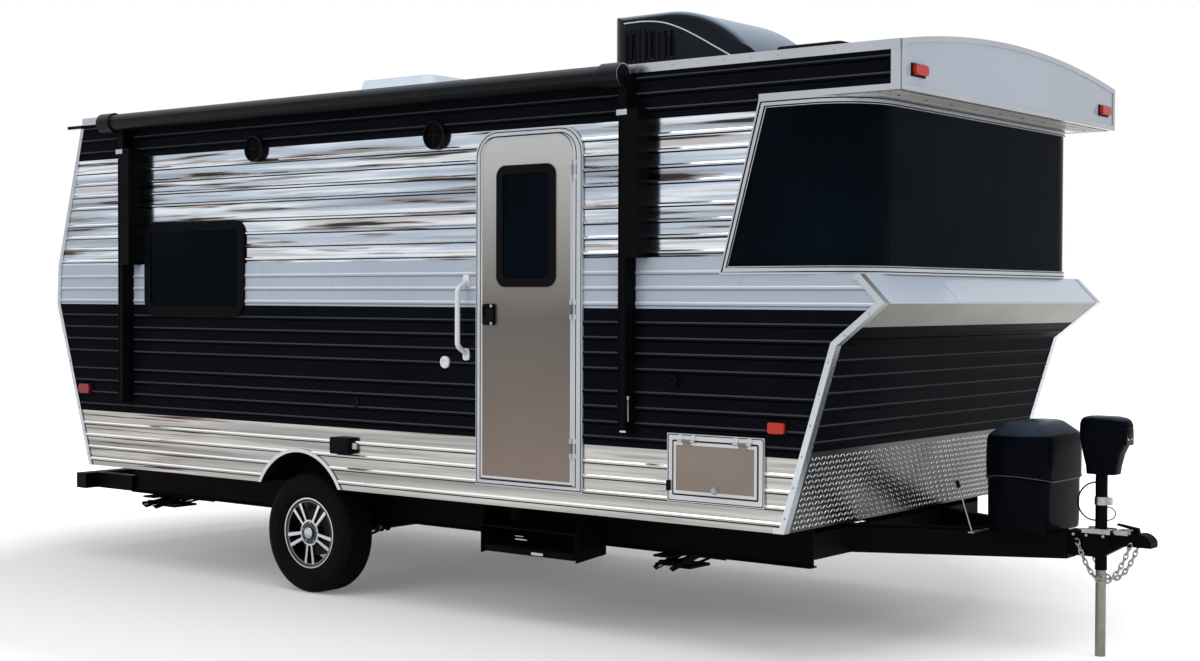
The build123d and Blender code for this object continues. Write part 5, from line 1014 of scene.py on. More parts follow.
@dataclass
class SidingDetails:
    """Screws along the mouldings, and the black edges of the wheel arches."""

    spacing: float = 0.150  # distance between screws
    screw: Profile = ((0.0055, 0.0), (0.0055, 0.0012), (0.0033, 0.0024), (0.0, 0.0028))
    # corners (x, z) of the rear and the front moulding, each after its screws' inset
    lines: tuple[tuple[float, tuple[Span, ...]], ...] = (
        (0.014, ((-3.091, 0.629), (-3.430, 1.678), (-3.416, 1.930), (-3.165, 2.825))),
        (-0.014, ((2.230, 0.629), (2.503, 1.512), (2.754, 1.712))))
    proud: float = 0.007  # how far the mouldings' faces stand off the siding
    # place of the first screw of the eaves: x, distance off the siding and z
    eaves: Point = (-3.06, 0.012, 2.862)
    eaves_screws: int = 38
    arch: Span = (-1.085, 0.452)  # (x, z) of the wheel arch's centre
    arch_radius: float = 0.373
    arch_foot: float = 0.630  # height at which the arch starts
    # radius and distance from the body's middle of the liner's section
    liner: Profile = ((0.3726, 1.178), (0.3726, 1.2195), (0.371, 1.2195), (0.371, 1.178))
    steps: int = 36

    def build(self) -> None:
        """Builds the screw heads and the arches of both sides."""
        maker = Builder()
        for side in Side:
            for inset, line in self.lines:
                for (x0, z0), (x1, z1) in pairwise(line):
                    count = max(1, round(math.hypot(x1 - x0, z1 - z0) / self.spacing))
                    for share in ((index + 0.5) / count for index in range(count)):
                        maker.turned((x0 + share * (x1 - x0) + inset,
                                      side.value * (HALF + self.proud),
                                      z0 + share * (z1 - z0)), side.out, self.screw, 10)
            x, out, z = self.eaves
            for index in range(self.eaves_screws):
                maker.turned((x + index * self.spacing, side.value * (HALF + out), z), side.out,
                             self.screw, 10)
        maker.piece("moulding_screws", ZINC, "zinc_steel")
        self.arches()

    def arches(self) -> None:
        """Lines the wall's cut edge round each wheel opening."""
        maker = Builder()
        x, z = self.arch
        foot = math.asin((self.arch_foot - z) / self.arch_radius)
        angles = [foot + (math.pi - 2 * foot) * step / self.steps
                  for step in range(self.steps + 1)]
        for side in Side:
            maker.join([[(x + radius * math.cos(angle), side.value * out,
                          z + radius * math.sin(angle)) for radius, out in self.liner]
                        for angle in angles], True)
        maker.piece("arch_liners", GRAINED_BLACK, "black_plastic")


@dataclass
class Awning:
    """Rings, clips and ribs of the rolled awning."""

    axis: Span = (0.092, 2.826)  # distance off the siding and height of the roll's axis
    ends: Span = (-2.810, 1.350)  # x of the two caps' outer faces
    ring: Profile = ((0.058, -0.001), (0.0575, 0.001), (0.0535, 0.001), (0.053, -0.001))
    hub: Profile = ((0.046, -0.001), (0.046, 0.003), (0.040, 0.005), (0.018, 0.005),
                    (0.016, 0.012), (0.0, 0.013))
    cloth: Span = (-2.685, 1.225)  # x at which the cloth's edges start and end
    # edges that show round the roll, and the angle of the first
    turns: tuple[int, float] = (5, 0.4)
    turn_radius: float = 0.0505  # their distance from the axis
    edge: float = 0.0022  # radius of an edge
    arms: Span = (-2.676, 1.314)  # x of the rear edge of each arm
    face: float = 0.084  # distance of an arm's face off the siding
    # ribs down an arm, from its rear edge and its face
    ribs: tuple[Bar, ...] = (((0.002, 0.008), (-0.001, 0.0035), (1.064, 2.590)),
                             ((0.040, 0.046), (-0.001, 0.0035), (1.064, 2.590)),
                             ((0.012, 0.036), (-0.001, 0.0025), (1.064, 1.120)))
    rivet_x: float = 0.024  # the rivets' place on the arm
    rivets: Row = (1.085, 1.40, 1.90, 2.40)  # their heights
    rivet: Profile = ((0.006, 0.0), (0.006, 0.002), (0.003, 0.0045), (0.0, 0.005))
    # travel clip of an arm, from its rear edge and its face
    clip: Bar = ((-0.001, 0.064), (-0.012, 0.018), (2.628, 2.656))
    # bars of the front arm's lock lever, the same way
    lever: tuple[Bar, ...] = (((0.047, 0.057), (-0.020, -0.012), (1.118, 1.240)),
                              ((0.047, 0.061), (-0.026, -0.008), (1.228, 1.246)),
                              ((0.018, 0.056), (-0.018, 0.008), (1.066, 1.076)))

    def build(self) -> None:
        """Builds the roll's details, then those of the arms."""
        self.roll()
        side = Side.RIGHT
        (out,) = off_wall(self.face)
        ribs, clips = Builder(), Builder()
        for arm in self.arms:
            ribs.bars(side, self.ribs, (arm, out, 0.0))
            for height in self.rivets:
                ribs.turned((arm + self.rivet_x, -out, height), side.out, self.rivet, 12)
            clips.bars(side, [self.clip], (arm, out, 0.0))
        ribs.piece("awning_arm_ribs", BLACK_POWDER, "black_metal", bevel=0.0008)
        clips.bars(side, self.lever, (self.arms[1], out, 0.0))
        clips.piece("awning_clips", BRIGHT_TRIM, "bright_trim", bevel=0.0015)

    def roll(self) -> None:
        """Builds the ring and hub on each end cap, and the cloth's edges between them."""
        rings, hubs, cloth = Builder(), Builder(), Builder()
        y, z = -(HALF + self.axis[0]), self.axis[1]
        for end, way in zip(self.ends, (-1.0, 1.0)):
            rings.turned((end, y, z), (way, 0.0, 0.0), self.ring, 48)
            hubs.turned((end, y, z), (way, 0.0, 0.0), self.hub, 32)
        rings.piece("awning_cap_rings", BRIGHT_TRIM, "bright_trim")
        hubs.piece("awning_cap_hubs", GRAINED_BLACK, "black_metal")
        turns, first = self.turns
        for angle in (math.tau * turn / turns + first for turn in range(turns)):
            cloth.tube([(x, y + self.turn_radius * math.cos(angle),
                         z + self.turn_radius * math.sin(angle)) for x in self.cloth],
                       self.edge, 6)
        cloth.piece("awning_cloth_edges", GLOSS_BLACK, "black_metal")


@dataclass
class DoorDetails:
    """Lock parts, edge band and window bead of the entry door."""

    face: float = 0.012  # distance of the leaf's face off the siding
    lock: Point = (0.405, 0.028, 1.640)  # (x, distance off the siding, z) of the lock body's face
    # the lock's paddle, from that place
    paddle: Bar = ((-0.026, 0.020), (-0.0105, -0.004), (-0.036, 0.030))
    key_x: float = 0.024  # the cylinders' place along the lock
    keys: Span = (0.045, -0.048)  # their heights from its middle
    key: Profile = ((0.0085, -0.001), (0.0085, 0.003), (0.0065, 0.0045), (0.0, 0.0045))
    window: Span = (0.656, 2.103)  # (x, z) of the window's middle
    bead: Sizes = ((0.3385, 0.5745, 0.0295), (0.322, 0.558, 0.0215))  # sizes of its bead
    leaf: Span = (0.655, 1.670)  # (x, z) of the leaf's middle
    # sizes of the band round the leaf
    edge: Sizes = ((0.622, 1.792, 0.096), (0.600, 1.770, 0.085))
    frame: Span = (0.668, 1.670)  # (x, z) of the frame's middle
    # sizes of the dark lines round it
    lines: tuple[Sizes, ...] = (((0.648, 1.815, 0.110), (0.638, 1.805, 0.105)),
                                ((0.714, 1.858, 0.140), (0.704, 1.848, 0.135)))

    def build(self) -> None:
        """Builds the lock's paddle and cylinders, and the bands round leaf and window."""
        side, face = Side.RIGHT, self.face
        x, out, z = self.lock[0], HALF + self.lock[1], self.lock[2]
        Builder().bars(side, [self.paddle], (x, out, z)).piece(
            "door_paddle", GLOSS_BLACK, "black_plastic", "door", bevel=0.003)
        keys = Builder()
        for height in self.keys:
            keys.turned((x + self.key_x, -out, z + height), side.out, self.key, 20)
        keys.piece("door_keyholes", ZINC, "zinc_steel", "door")
        Builder().band(side, rounded_outline, self.window, self.bead,
                       (face + 0.0002, face + 0.0052)).piece(
            "door_window_bead", GLOSS_BLACK, "black_plastic", "door")
        Builder().band(side, arched_outline, self.leaf, self.edge, (face, face + 0.0015)).piece(
            "door_edge_band", SATIN_FRAME, "champagne_leaf", "door")
        lines = Builder()
        for sizes in self.lines:
            lines.band(side, arched_outline, self.frame, sizes, (face + LINE[0], face + LINE[1]))
        lines.piece("door_frame_lines", GLOSS_BLACK, "white_trim")


@dataclass
class HatchDetails:
    """Bands, latches, seals and clips of the two baggage hatches."""

    centre: Span = (1.847, 0.906)  # (x, z) of the leaf's middle
    face: float = 0.012  # distance of the leaf's face off the siding
    # sizes of the band round the leaf
    edge: Sizes = ((0.482, 0.252, 0.006), (0.452, 0.222, 0.004))
    latch_drop: float = 0.100  # distance of the latch below the leaf's middle
    latch: Profile = ((0.019, 0.0), (0.019, 0.003), (0.0155, 0.0045), (0.0155, 0.0125),
                      (0.012, 0.0135), (0.004, 0.0135), (0.0, 0.0125))
    # sizes of the dark lines round the frame and the leaf
    seals: tuple[Sizes, ...] = (((0.554, 0.324, 0.010), (0.545, 0.315, 0.008)),
                                ((0.500, 0.270, 0.008), (0.491, 0.261, 0.006)))
    # the catch that holds the open leaf, from the leaf's middle and face
    clip: Bar = ((-0.279, -0.262), (-0.001, 0.014), (-0.116, -0.064))

    def build(self) -> None:
        """Builds the details of both hatches."""
        (x, z), face = self.centre, self.face
        for side in Side:
            word, leaf = side.word, f"hatch_{side.word}_leaf"
            Builder().band(side, rounded_outline, self.centre, self.edge,
                           (face, face + 0.002)).piece(
                f"hatch_band_{word}", SATIN_FRAME, "champagne_leaf", leaf)
            Builder().turned((x, side.value * (HALF + face), z - self.latch_drop), side.out,
                             self.latch, 28).piece(
                f"hatch_latch_{word}", ZINC, "zinc_steel", leaf)
            seal = Builder()
            for sizes in self.seals:
                seal.band(side, rounded_outline, self.centre, sizes,
                          (face + LINE[0], face + LINE[1]))
            seal.piece(f"hatch_seal_{word}", GLOSS_BLACK, "black_plastic")
            Builder().bars(side, [self.clip], (x, HALF + face, z)).piece(
                f"hatch_clip_{word}", GRAINED_BLACK, "black_plastic", bevel=0.003)


@dataclass
class FrontGlassDetails:
    """Posts behind the wrap-round glass, its rubber and the strips of the soffit."""

    glass_x: float = 2.632  # outer face of the glass
    corner: float = 0.280  # radius of its corners, seen from above
    sill_z: float = 1.843
    head_z: float = 2.660
    rubber_proud: float = 0.0082  # how far the rubber's lines stand off the glass
    rubber: float = 0.0032  # their radius
    insets: Span = (0.011, 0.032)  # distance of each line from the edge of the glass
    # x at which a line at the head and at the foot ends, and its lean by its inset
    rears: tuple[Span, Span] = ((2.083, 1.05), (1.863, 1.3))
    posts: Row = (-0.90, -0.466, 0.0, 0.416, 0.90)  # y of the front posts
    side_posts: Span = (2.19, 2.34)  # x of the side posts
    post: float = 0.016  # half a post's width
    post_depth: Span = (-0.040, -0.009)  # distances of a post's faces behind the glass
    strips: Row = (2.646, 2.7005, 2.755)  # x of each soffit strip's rear edge
    strip: Span = (0.046, 0.0545)  # width of a strip, and of a strip with its gap
    strip_reach: float = 1.178  # half its length
    # x of the soffit's screws, y of the first and their spacing
    screws: Point = (2.725, -1.05, 0.2625)
    screw: Profile = ((0.007, -0.001), (0.007, 0.002), (0.0, 0.003))

    def rubber_lines(self) -> None:
        """Runs two lines of glazing rubber all round the glass."""
        maker = Builder()
        radius = self.corner + self.rubber_proud
        bend = [(self.glass_x - self.corner + radius * math.sin(angle),
                 -HALF + self.corner - radius * math.cos(angle))
                for angle in (math.radians(10 * step) for step in range(10))]
        for inset in self.insets:
            loop = []
            for height, (rear, lean), order in ((self.head_z - inset, self.rears[0], 1),
                                                (self.sill_z + inset, self.rears[1], -1)):
                half = [(rear + lean * inset, -HALF - self.rubber_proud)] + bend
                whole = half + [(x, -y) for x, y in reversed(half)]
                loop += [(x, y, height) for x, y in whole[::order]]
            maker.tube(loop + loop[:1], self.rubber, 6)
        maker.piece("glazing_rubber", GLOSS_BLACK, "black_plastic")

    def build(self) -> None:
        """Builds the rubber, the posts and the soffit's strips and screws."""
        self.rubber_lines()
        posts, strips, gaps, screws = Builder(), Builder(), Builder(), Builder()
        up = (self.sill_z + 0.002, self.head_z - 0.002)
        depth, wide = self.post_depth, (-self.post, self.post)
        posts.bars(Side.LEFT, [(depth, (y - self.post, y + self.post), up) for y in self.posts],
                   (self.glass_x, 0.0, 0.0))
        for side in Side:
            for x in self.side_posts:
                posts.bars(side, [(wide, off_wall(*depth), up)], (x, 0.0, 0.0))
        posts.piece("glass_posts", BLACK_POWDER, "black_metal", bevel=0.002)
        across = (-self.strip_reach, self.strip_reach)
        wide, pitch = self.strip
        for x in self.strips:
            origin = (x, 0.0, self.head_z)
            strips.bars(Side.LEFT, [((0.0, wide), across, (-0.0035, 0.001))], origin)
            gaps.bars(Side.LEFT, [((wide, pitch), across, (-0.001, 0.001))], origin)
        gaps.piece("soffit_gaps", GLOSS_BLACK, "black_plastic")
        strips.piece("soffit_strips", BEIGE_BOARD, "champagne_trim", bevel=0.0015)
        x, first, spacing = self.screws
        for index in range(9):
            screws.turned((x, first + index * spacing, self.head_z - 0.0035), DOWN, self.screw,
                          12)
        screws.piece("soffit_screws", GLOSS_BLACK, "black_plastic")


@dataclass
class NoseDetails:
    """Bright edge bead, deck joint and the painted shade on the nose's under panel."""

    edge: Span = (2.754, 1.712)  # (x, z) of the nose's edge
    sill: Span = (2.625, 1.843)  # (x, z) of the deck's head
    under: Span = (2.6145, 1.601)  # (x, z) of the under panel's foot
    half_width: float = 1.176
    joint: Span = (-0.485, -0.455)  # y at which the joint's cover starts and ends
    bead: float = 0.005  # radius of the edge's bead

    def skin(self, name: str, finish: Finish, line: tuple[Span, Span], across: Span,
             rise: float) -> None:
        """Lays a thin sheet on a sloping face, seen from ahead.

        Args:
            name: Piece name.
            finish: Its surface.
            line: (x, z) of its foot and of its head.
            across: y at which it starts and ends.
            rise: How far it stands off the face.
        """
        start, end = (Vector((x, 0.0, z)) for x, z in line)
        along = (end - start).normalized()
        out = Vector((along.z, 0.0, -along.x))
        corners = [place + Vector((0.0, across[index], 0.0)) - out * SEAT
                   for place, index in ((start, 0), (start, 1), (end, 1), (end, 0))]
        Builder().slab(corners, out * (rise + SEAT)).piece(name, finish, "white_sheet")

    def build(self) -> None:
        """Builds the bead, the joint's cover and the under panel's skin of painted shade."""
        across = (-self.half_width, self.half_width)
        Builder().tube([(self.edge[0] - 0.001, y, self.edge[1]) for y in across], self.bead,
                       12).piece("nose_edge_bead", WHITE_TRIM, "white_sheet")
        self.skin("nose_joint_cover", DECK_WHITE, (self.edge, self.sill), self.joint, 0.0018)
        # The under panel is the same white sheet; this grey skin is painted shade on it.
        self.skin("nose_under_shade_skin", SHADED_WHITE_SHEET, (self.under, self.edge), across, 0.0012)


@dataclass
class RoofDetails:
    """Slots and seam of the air conditioner, and the skylight's screws."""

    half_width: float = 0.345  # half width of the air conditioner
    # slots on each side, x of the first, and their pitch
    slots: tuple[int, float, float] = (11, 0.632, 0.033)
    slot: Point = (0.009, 3.028, 3.222)  # half a slot's width, its foot and its head
    slope_x: float = 0.78  # x from which the slots' heads come down
    slope: float = 0.32  # how steeply they do
    # (x, z) of the side's seam line
    seam: tuple[Span, ...] = ((0.616, 3.262), (0.660, 3.263), (0.760, 3.262), (0.880, 3.246),
                              (1.000, 3.205), (1.120, 3.146), (1.230, 3.085), (1.330, 3.030))
    seam_radius: float = 0.0035
    # x of the skylight's screws, then y and z
    screws: tuple[Row, Span, float] = ((-1.46, -1.305, -1.15, -0.995, -0.84),
                                                     (-0.415, 0.015), 2.993)
    screw: Profile = ((0.008, -0.03), (0.008, 0.002), (0.0, 0.004))

    def build(self) -> None:
        """Builds the slots, the seam line and the skylight's screws."""
        slots, seam, screws = Builder(), Builder(), Builder()
        count, first, pitch = self.slots
        half, low, high = self.slot
        for side in Side:
            for x in (first + index * pitch for index in range(count)):
                head = high - max(0.0, x - self.slope_x) * self.slope
                slots.bars(side, [((-half, half), (-0.004, 0.0012), (low, head))],
                           (x, self.half_width, 0.0))
            y = side.value * (self.half_width + 0.001)
            seam.tube(smooth_path([(x, y, z) for x, z in self.seam], 4), self.seam_radius, 8)
        slots.piece("cooler_slots", GLOSS_BLACK, "cover_plastic", bevel=0.0008)
        seam.piece("cooler_seam", WHITE_TRIM, "cover_plastic")
        along, across, z = self.screws
        for x, y in product(along, across):
            screws.turned((x, y, z), UP, self.screw, 10)
        screws.piece("skylight_screws", ZINC, "zinc_steel")


@dataclass
class Fittings:
    """Detail on speakers, ports, lamps, outlet box and number plate."""

    speakers: Span = (-1.456, 0.010)  # x of the two speakers
    speaker_z: float = 2.607  # their height
    speaker_proud: float = 0.030  # how far their rims stand out
    grille_depth: float = 0.016  # depth of the grille behind the rim
    # outer radii of the grille's rings
    grilles: Row = (0.060, 0.050, 0.040, 0.030, 0.020)
    # section of a ring, from its radius
    grille: Profile = ((0.0, -0.001), (0.0, 0.006), (-0.004, 0.006), (-0.004, -0.001))
    boss: Profile = ((0.012, -0.001), (0.012, 0.009), (0.0, 0.011))
    # bars of the grille's cross
    cross: tuple[Bar, ...] = (((-0.064, 0.064), (-0.001, 0.008), (-0.003, 0.003)),
                              ((-0.003, 0.003), (-0.001, 0.008), (-0.064, 0.064)))
    rim: Profile = ((0.078, -0.006), (0.0785, -0.001), (0.075, 0.0015), (0.068, 0.0),
                    (0.067, -0.004))
    port: Point = (0.078, 0.012, 1.379)  # (x, distance off the siding, z) of the cable port
    port_section: Profile = ((0.033, -0.011), (0.033, 0.0), (0.029, 0.003), (0.018, 0.003),
                             (0.016, -0.002), (0.0, -0.002))
    # the outlet's lid and its catch, from the siding
    outlet: tuple[Bar, ...] = (((-0.771, -0.641), (0.047, 0.0505), (0.846, 0.924)),
                               ((-0.722, -0.690), (0.047, 0.058), (0.838, 0.850)))
    # the door catch's lever, the same way
    lever: Bar = ((-0.628, -0.600), (0.004, 0.020), (0.868, 0.902))
    # x, z, width and height of the side markers, amber and red
    markers: Rows = ((2.197, 1.124, 0.100, 0.062), (-3.126, 1.127, 0.120, 0.070))
    marker_ribs: int = 5
    brow_y: float = 1.065  # y of the brow lamps
    # the base of a brow lamp, from that y
    brow: Bar = ((2.827, 2.834), (-0.067, 0.067), (2.727, 2.787))
    plate_foot: Span = (-3.091, 0.629)  # (x, z) of the foot of the sloping rear wall
    plate_slope: Span = (-0.339, 1.049)  # how that wall leans, (x, z)
    plate: Span = (0.780, 0.860)  # y and z of the plate's middle
    plate_size: Span = (0.07, 0.145)  # its half height and half width
    plate_out: float = 0.026  # distance of the bracket's face off the wall

    def build(self) -> None:
        """Builds every wall fitting's detail."""
        self.speaker_grilles()
        self.ports()
        self.lamps()
        self.number_plate()

    def speaker_grilles(self) -> None:
        """Builds rings and a cross in each speaker, and its rim."""
        maker, rims, side = Builder(), Builder(), Side.RIGHT
        face = HALF + self.speaker_proud
        floor = face - self.grille_depth
        for x in self.speakers:
            centre = (x, -floor, self.speaker_z)
            for radius in self.grilles:
                maker.turned(centre, side.out, [(radius + wide, out) for wide, out in self.grille],
                             36)
            maker.turned(centre, side.out, self.boss, 24)
            maker.bars(side, self.cross, (x, floor, self.speaker_z))
            rims.turned((x, -face, self.speaker_z), side.out, self.rim, 48)
        maker.piece("speaker_grilles", GRAINED_BLACK, "black_plastic")
        rims.piece("speaker_rims", GLOSS_BLACK, "black_plastic")

    def ports(self) -> None:
        """Builds the white cable port, the outlet's lid and the door catch's lever."""
        side, siding = Side.RIGHT, (0.0, HALF, 0.0)
        x, out, z = self.port
        Builder().turned((x, -HALF - out, z), side.out, self.port_section, 32).piece(
            "cable_port", WHITE_HANDLE, "white_plastic")
        Builder().bars(side, self.outlet, siding).piece(
            "outlet_lid", GRAINED_BLACK, "black_plastic", bevel=0.0015)
        Builder().bars(side, [self.lever], siding).piece(
            "outlet_lever", WHITE_TRIM, "white_plastic", bevel=0.003)

    def lamps(self) -> None:
        """Builds bases and lens ribs for the side markers, and the brow lamps' bases."""
        bases, ribs = Builder(), [Builder(), Builder()]
        for side in Side:
            for maker, (x, z, wide, tall) in zip(ribs, self.markers):
                bases.bars(side, [((-wide / 2, wide / 2), (0.0065, 0.010), (-tall / 2, tall / 2))],
                           (x, HALF, z))
                for index in range(self.marker_ribs):
                    middle = x + (index - (self.marker_ribs - 1) / 2) * wide / 7
                    maker.bars(side, [((-0.002, 0.002), (0.025, 0.0258),
                                       (-0.36 * tall, 0.36 * tall))], (middle, HALF, z))
            bases.bars(Side.LEFT, [self.brow], (0.0, side.value * self.brow_y, 0.0))
        bases.piece("lamp_bases", GRAINED_BLACK, "black_plastic", bevel=0.002)
        for maker, name, lens in zip(ribs, ("amber_lens", "red_lens"), (AMBER_LENS, RED_LENS)):
            maker.piece(f"{name}_ribs", lens, name, bevel=0.0006)

    def number_plate(self) -> None:
        """Builds a blank number plate on its bracket."""
        lean, rise = self.plate_slope
        up = Vector((lean, 0.0, rise)).normalized()
        out = Vector((-up.z, 0.0, up.x))
        foot_x, foot_z = self.plate_foot
        y, z = self.plate
        middle = Vector((foot_x + lean * (z - foot_z) / rise, y, z)) + out * self.plate_out
        tall, wide = self.plate_size
        corners = [middle + up * a * tall + Vector((0.0, b * wide, 0.0)) - out * SEAT
                   for a, b in ((-1, -1), (-1, 1), (1, 1), (1, -1))]
        Builder().slab(corners, out * 0.003).piece("blank_number_plate", WHITE_TRIM,
                                                   "white_sheet", bevel=0.0008)


@dataclass
class TongueDetails:
    """Clamp, switch panel, bolts, plates, covers, rod, pipe and leads at the tongue."""

    jack_x: float = 3.272
    tube_radius: float = 0.029  # the jack's outer tube
    clamp_z: float = 0.735  # foot of the clamp round it
    clamp: Profile = ((0.029, 0.0), (0.033, 0.0), (0.033, 0.040), (0.029, 0.040))
    # the clamp's lug, from the jack's axis
    lug: Bar = ((0.026, 0.052), (-0.013, 0.013), (0.737, 0.773))
    top: float = 0.606  # upper face of the coupler
    # plates on the coupler, from the jack's axis and that face
    plates: tuple[Bar, ...] = (((-0.056, 0.056), (-0.0425, 0.0425), (0.007, 0.011)),
                               ((0.075, 0.160), (-0.040, -0.014), (-0.001, 0.014)),
                               ((0.075, 0.160), (0.014, 0.040), (-0.001, 0.014)))
    # their turned-down edges, the same way, on both sides
    skirts: tuple[Bar, ...] = (((-0.082, 0.062), (0.0430, 0.0465), (-0.009, 0.016)),
                               ((0.084, 0.150), (0.0430, 0.0465), (-0.006, 0.016)))
    # reach of the jack's flange bolts, along and across, and their height
    flange_bolts: Point = (0.046, 0.033, 0.011)
    flange_bolt: Profile = ((0.009, 0.0), (0.009, 0.006), (0.007, 0.0075), (0.0, 0.0075))
    # x of the coupler's bolts, then distance from the middle and z
    side_bolts: tuple[Row, float, float] = ((3.150, 3.215, 3.300), 0.0438, 0.588)
    side_bolt: Profile = ((0.0085, 0.0), (0.0085, 0.0055), (0.0065, 0.007), (0.0, 0.007))
    # the switch panel, from the jack's axis
    panel: Bar = ((0.130, 0.1415), (-0.045, 0.045), (1.030, 1.100))
    # y of its switches, then distance from the axis and z
    switches: tuple[Span, float, float] = ((-0.022, 0.018), 0.1405, 1.066)
    switch: Profile = ((0.011, 0.0), (0.011, 0.001), (0.008, 0.0012), (0.0, 0.0012))
    # the valve rod's foot plate
    rod_foot: Bar = ((2.748, 2.778), (-0.366, -0.190), (0.592, 0.597))
    # the valve rod's ends, and its radius
    rod: Rod = (((2.763, -0.352, 0.594), (2.687, -0.350, 0.815)),
                                            0.004)
    # its knob's ends, and the knob's radius
    knob: Rod = (((2.690, -0.350, 0.806), (2.6785, -0.350, 0.840)),
                                             0.009)
    # path of the gas pipe, and its radius
    pipe: Rod = (
        ((2.830, -0.190, 0.640), (2.745, -0.222, 0.602), (2.600, -0.291, 0.600),
         (2.420, -0.382, 0.600), (2.300, -0.443, 0.600), (2.100, -0.545, 0.600)), 0.0075)
    # sections of the motor's hood, with their middles
    hood: Rows = (
        (0.886, 0.145, 0.112, 0.030, 3.2815), (0.892, 0.149, 0.116, 0.032, 3.2815),
        (0.925, 0.156, 0.122, 0.034, 3.2825), (0.985, 0.186, 0.136, 0.040, 3.2830),
        (1.030, 0.216, 0.148, 0.046, 3.2890), (1.060, 0.240, 0.154, 0.052, 3.2935),
        (1.090, 0.246, 0.156, 0.056, 3.2940), (1.128, 0.244, 0.155, 0.058, 3.2940),
        (1.148, 0.230, 0.148, 0.058, 3.2925), (1.160, 0.200, 0.130, 0.052, 3.2900),
        (1.166, 0.150, 0.096, 0.040, 3.2870))
    # outline and height of its seam, and the seam's radius
    hood_seam: Row = (3.2940, 0.2420, 0.1520, 0.054, 1.112, 0.0018)
    cover_x: float = 2.925  # middle of the gas bottles' cover
    # sections of that cover, with their waves
    cover: Rows = (
        (0.592, 0.296, 0.566, 0.120, 0.0), (0.600, 0.308, 0.578, 0.126, 0.0),
        (0.640, 0.314, 0.586, 0.130, 0.004), (0.834, 0.316, 0.590, 0.132, 0.030),
        (0.840, 0.330, 0.602, 0.138, 0.030), (0.880, 0.334, 0.606, 0.140, 0.024),
        (0.980, 0.334, 0.606, 0.140, 0.006), (1.040, 0.330, 0.602, 0.140, 0.0),
        (1.062, 0.318, 0.590, 0.136, 0.0), (1.072, 0.302, 0.574, 0.130, 0.0),
        (1.112, 0.208, 0.450, 0.094, 0.0), (1.123, 0.176, 0.410, 0.080, 0.0),
        (1.128, 0.140, 0.370, 0.064, 0.0))
    # outline, height, wave and radius of its seam's lip
    lip: Row = (0.3325, 0.6035, 0.140, 0.843, 0.030, 0.0030)
    # name, direction, radius, foot, head and bulge of each lead
    leads: tuple[tuple[str, Span, float, float, float, float], ...] = (
        ("jack_lead", (-0.788, -0.616), 0.0040, 0.660, 0.845, 0.088),
        ("pin_lead", (0.900, 0.436), 0.0030, 0.660, 0.725, 0.040))

    def build(self) -> None:
        """Builds the tongue's small parts."""
        self.jack_hood()
        self.bottle_cover()
        self.cables()
        middle, jack, coupler = Side.LEFT, (self.jack_x, 0.0, 0.0), (self.jack_x, 0.0, self.top)
        clamp = Builder().turned((self.jack_x, 0.0, self.clamp_z), UP, self.clamp, 32)
        clamp.bars(middle, [self.lug], jack).piece("jack_clamp", ZINC, "zinc_steel", bevel=0.001)
        plates, bolts, switches = Builder(), Builder(), Builder()
        plates.bars(middle, self.plates, coupler)
        along, across, up = self.flange_bolts
        for x, y in product((-along, along), (-across, across)):
            bolts.turned((self.jack_x + x, y, self.top + up), UP, self.flange_bolt, 6)
        places, out, z = self.side_bolts
        for side in Side:
            plates.bars(side, self.skirts, coupler)
            for x in places:
                bolts.turned((x, side.value * out, z), side.out, self.side_bolt, 6)
        plates.piece("coupler_plates", ZINC, "zinc_steel", bevel=0.0015)
        bolts.piece("tongue_bolts", ZINC, "zinc_steel", bevel=0.0006)
        Builder().bars(middle, [self.panel], jack).piece(
            "jack_switch_panel", GLOSS_BLACK, "black_plastic", bevel=0.003)
        places, ahead, z = self.switches
        for y in places:
            switches.turned((self.jack_x + ahead, y, z), (1.0, 0.0, 0.0), self.switch, 20)
        switches.piece("jack_switches", ZINC, "zinc_steel")
        Builder().bars(middle, [self.rod_foot]).tube(*self.rod, 10).piece(
            "valve_rod", ZINC, "zinc_steel")
        Builder().tube(*self.knob, 16).piece("valve_knob", GRAINED_BLACK, "black_plastic")
        path, radius = self.pipe
        Builder().tube(smooth_path(path, 8), radius, 12).piece(
            "gas_pipe", GRAINED_BLACK, "black_plastic")

    def jack_hood(self) -> None:
        """Builds the motor's moulded hood: full above, drawn in below."""
        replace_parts(Builder().loft(None, self.hood).piece("jack_hood", COVER_BLACK,
                                                          "black_plastic"), "jack_head")
        middle, *size, height, radius = self.hood_seam
        ring = rounded_outline((middle, 0.0), *size)
        Builder().tube(closed_loop(ring, lambda x, y: height), radius, 6).piece(
            "jack_hood_seam", GLOSS_BLACK, "black_plastic")

    def bottle_cover(self) -> None:
        """Builds the gas bottles' two-part moulded cover and the lip of its seam."""
        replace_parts(Builder().loft(self.cover_x, self.cover).piece(
            "bottle_cover", COVER_BLACK, "black_plastic"), "gas_bottle_cover")
        *size, height, wave, radius = self.lip
        ring = rounded_outline((self.cover_x, 0.0), *size)
        path = closed_loop(ring, lambda x, y: height - wave * math.cos(
            2 * math.atan2(y, x - self.cover_x)))
        # The lip takes the sheen finish, so its upper face carries a painted highlight.
        Builder().tube(path, radius, 8).piece("cover_lip", AC_BLACK, "black_plastic")

    def cables(self) -> None:
        """Loops the jack's lead and the pull pin's lead beside the tube."""
        for name, out, half, low, top, bulge in self.leads:
            path = []
            for turn in (math.pi * step / 24 for step in range(25)):
                reach = self.tube_radius - 0.003 + bulge * math.sin(turn)
                height = (top + low) / 2 + (top - low) / 2 * math.cos(turn)
                path.append(Vector((self.jack_x + out[0] * reach, out[1] * reach, height)))
            piece = Builder().tube(path, half, 10).piece(name, GRAINED_BLACK, "black_plastic")


